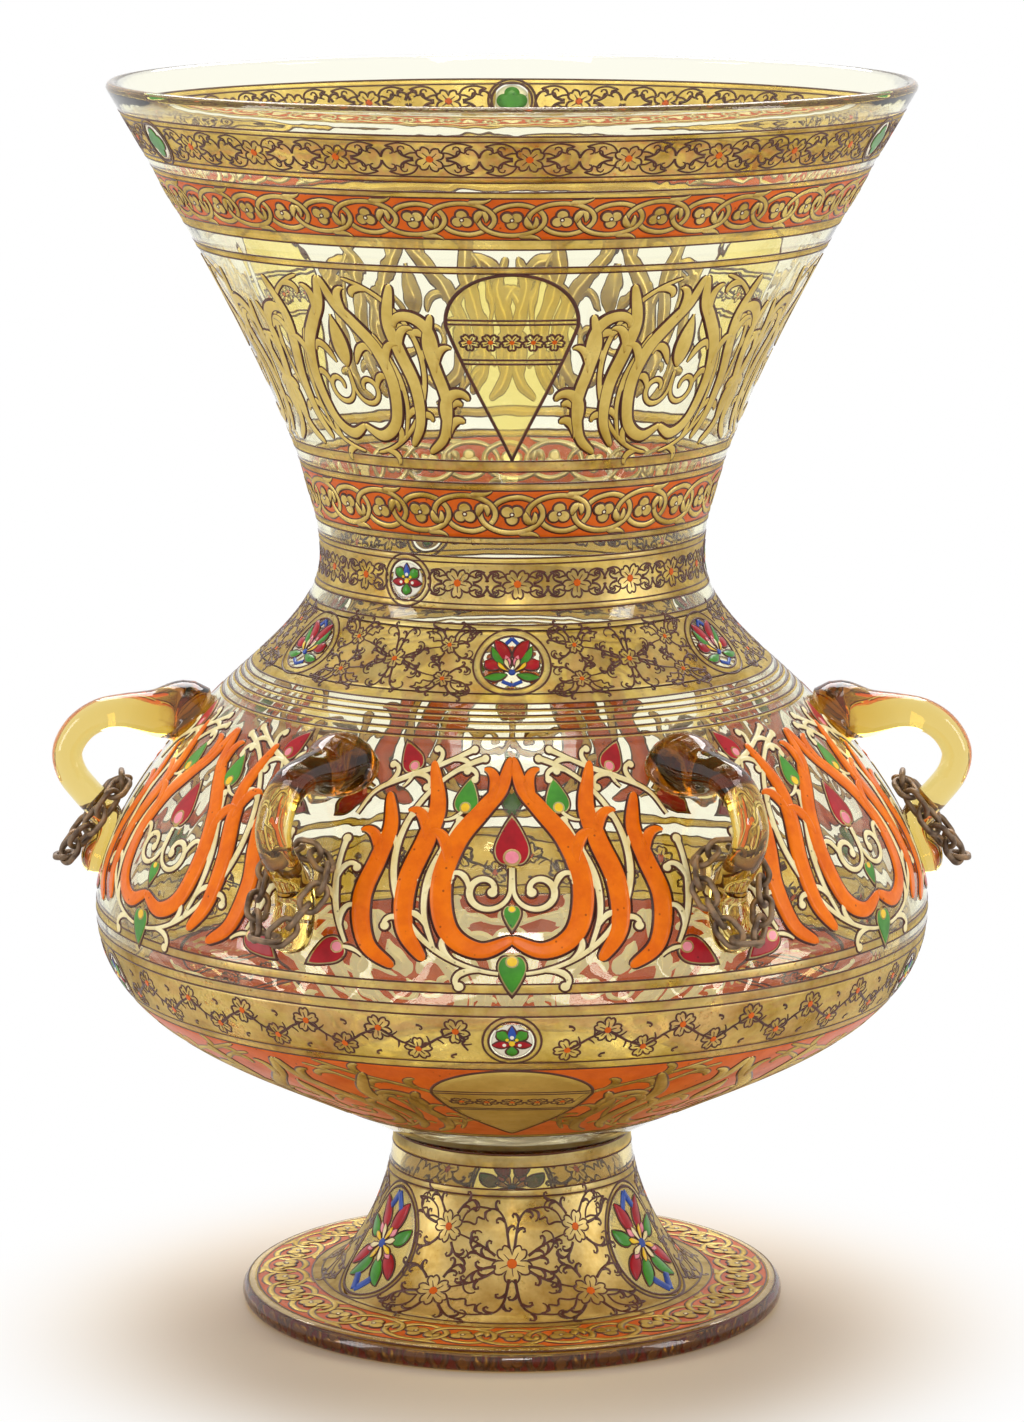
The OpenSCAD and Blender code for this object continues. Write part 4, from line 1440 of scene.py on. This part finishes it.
neck_zone = Zone(vessel_skin, 48.1, 105.6)
scroll_zone("neck_scroll", neck_zone, (0.76, 0.9), gold_leaf, 3, "thin_gold", 32, GOLD_H, True, 0.4).lay()
under_zone = Zone(vessel_skin, 282.6, 344.6)
under_paint = scroll_zone("underside", under_zone, (0.86, 0.96), gold_leaf_on_orange, 5, "leaf_gold", 36,
                          0.16, False, 3.0)
under_paint["coral"].belt(under_zone, ORANGE_H)
under_paint.lay()

# %% [markdown]
# ## The belly
# The belly carries the boldest work: tall orange leaves, edged with gold, among cream stems that hook
# and branch, with red and green buds. Handles part it into six bays. A displaced texture could raise the
# enamel, but only on a very fine mesh. So each bay is drawn with strokes about its own middle line and
# mirrored, and the strokes are thick enough to stand out from the glass.

# %% Belly strokes
# Places across a leaf in half widths, and heights of the brown edge, the gold and the orange of a leaf,
# and of the brown edge, the cream and the knob of a stem
BROAD = (-1, -0.88, -0.4, 0.4, 0.88, 1)
LEAF_EDGE_H, LEAF_GOLD_H, LEAF_H = 0.16, 0.22, 0.46
STEM_EDGE_H, STEM_H, KNOB_H = 0.2, 0.34, 0.36


def orange_leaf(paint, spot, path, width, peak, power):
    widths = width * swell(len(path), peak, power, 0.12)
    paint["line"].stroke(spot, path, widths + 1.1, LEAF_EDGE_H)
    paint["gold"].stroke(spot, path, widths + 0.6, LEAF_GOLD_H)
    paint["orange"].stroke(spot, path, widths, LEAF_H, BROAD)


def cream_stem(paint, spot, path, width=2.1):
    widths = width * np.interp(np.linspace(0, 1, len(path)), [0, 0.5, 0.85, 1], [0.5, 1, 0.75, 1.0])
    paint["line"].stroke(spot, path, widths + 0.8, STEM_EDGE_H)
    paint["cream"].stroke(spot, path, widths, STEM_H)
    paint["line"].pad(spot, disc(*path[-1], 0.68 * width + 0.4, 14), STEM_EDGE_H)
    paint["cream"].pad(spot, disc(*path[-1], 0.68 * width, 14), KNOB_H)


print("orange leaves stand", LEAF_H, "mm above the glass and cream stems", STEM_H, "mm")

# %% Belly bays
belly_zone = Zone(vessel_skin, 188.6, 255.0)
belly_paint = Palette("belly")
# Ink, colour of the heart, place, heading and size of the buds of one half, and of those in the middle
BUDS = [("green", "yellow", 13.0, 14.6, 96, 5.2), ("red", "pink", 31.0, 26.2, 58, 5.2),
        ("red", "pink", 42.8, -27.0, -34, 5.2)]
MIDDLE_BUDS = [("red", "pink", 0, 1.0, 90, 7.0), ("green", "yellow", 0, -15.4, -90, 3.2),
               ("green", "yellow", 0, -29.4, -90, 5.0)]
# Each bay lies under a roundel of the shoulder band
for angle in SHOULDER_ROUNDELS:
    for flip in (1, -1):
        spot = belly_zone.spot(angle, flip=flip)
        for path, sprouts in VINES:
            for shoot in shoots(path, sprouts):
                cream_stem(belly_paint, spot, shoot, 1.9)
            cream_stem(belly_paint, spot, path)
        for ink, core, x, y, heading, size in BUDS:
            bud(belly_paint, spot, ink, core, x, y, heading, size)
            heart = np.array([x, y]) - polar(0.24 * size, math.radians(heading))
            stalk = pen(*heart, heading + 200, 7, 60)
            cream_stem(belly_paint, spot, stalk[::-1], 1.3)
        split_leaves(belly_paint, spot, orange_leaf)
    for middle_bud in MIDDLE_BUDS:
        bud(belly_paint, belly_zone.spot(angle), *middle_bud)
belly_paint.lay()

# %% [markdown]
# ## The foot
# The bell of the foot is gilded, with three oval flowers and a spray of blossoms between them. The gold
# could run on under the ovals, but there the glass shows through a thinner gilding. So the film has
# hollow ends that leave the ovals free, and each oval gets a pad of thin gold.

# %% Foot flower
# Ink, start, heading, length, width and bend of the petals of one side, in flower heights
PETALS = [("red", (0.16, 0.34), 72, 0.92, 0.44, -22), ("red", (0.34, -0.2), -38, 0.78, 0.4, -30),
          ("green", (0.36, 0.14), 14, 0.72, 0.4, 40), ("green", (0.14, -0.36), -72, 0.82, 0.4, 24)]


def star_bloom(paint, spot, r):
    """Flaming red petals and green leaves round a blue heart, with slim pale petals and blue tips."""
    for side in (1, -1):
        turn = 0 if side > 0 else 180
        for ink, (x, y), heading, length, width, bend in PETALS:
            leaf(paint, spot, ink, side * x * r, y * r, turn + side * heading, length * r, width * r,
                 side * bend, 0.42, 0.7)
        for heading in (48, -30):
            at = polar(0.3 * r, math.radians(turn + side * heading))
            leaf(paint, spot, "pink", *at, turn + side * heading, 0.3 * r, 0.2 * r, 0, 0.5, 0.8,
                 ENAMEL_H + 0.05)
        for up in (1, -1):
            path = pen(0, up * 1.34 * r, -90 * up + side * up * 34, 0.5 * r)
            paint["blue"].stroke(spot, path, 0.22 * r, ENAMEL_H)
    for k in range(8):
        ink = "yellow" if k % 2 else "cream"
        leaf(paint, spot, ink, 0, 0, 22.5 + 45 * k, 0.5 * r, 0.17 * r, 0, 0.7, 0.8, ENAMEL_H + 0.1,
             PEN * 0.6)
    paint["blue"].pad(spot, disc(0, 0, 0.15 * r, 14), ENAMEL_H + 0.2)


print("foot flower:", 2 * len(PETALS), "large petals")

# %% Foot bell
# Half width and half height of an oval, and points of its outline
OVAL_W, OVAL_H, OVAL_POINTS = 13.0, 17.0, 60
FOOT_OVALS = (-60, 60, 180)
foot_zone = Zone(foot_skin, 11.8, 48.5)
foot_paint = Palette("foot_bell")
for left, right in panels(FOOT_OVALS):
    foot_paint["gold"].belt(foot_zone, GOLD_H, left, right, OVAL_W, OVAL_H)
a = np.linspace(0, 2 * math.pi, OVAL_POINTS, endpoint=False)
oval = np.c_[OVAL_W * np.cos(a), OVAL_H * np.sin(a)]
panel_w = math.radians(120) * foot_zone.radius - 2 * OVAL_W
for angle in FOOT_OVALS:
    spot = foot_zone.spot(angle)
    foot_paint["thin_gold"].pad(spot, oval * 0.96, GOLD_H)
    for grow in (0.97, 1.06):
        foot_paint["line"].line(spot, oval * grow, PEN * 1.3, LINE_H, loop=True)
    star_bloom(foot_paint, spot, 11.2)
    spray_panel(foot_paint, foot_zone.spot(angle + 60), panel_w, 1.85 * foot_zone.half, 4.4, 0.95)
foot_paint.lay()
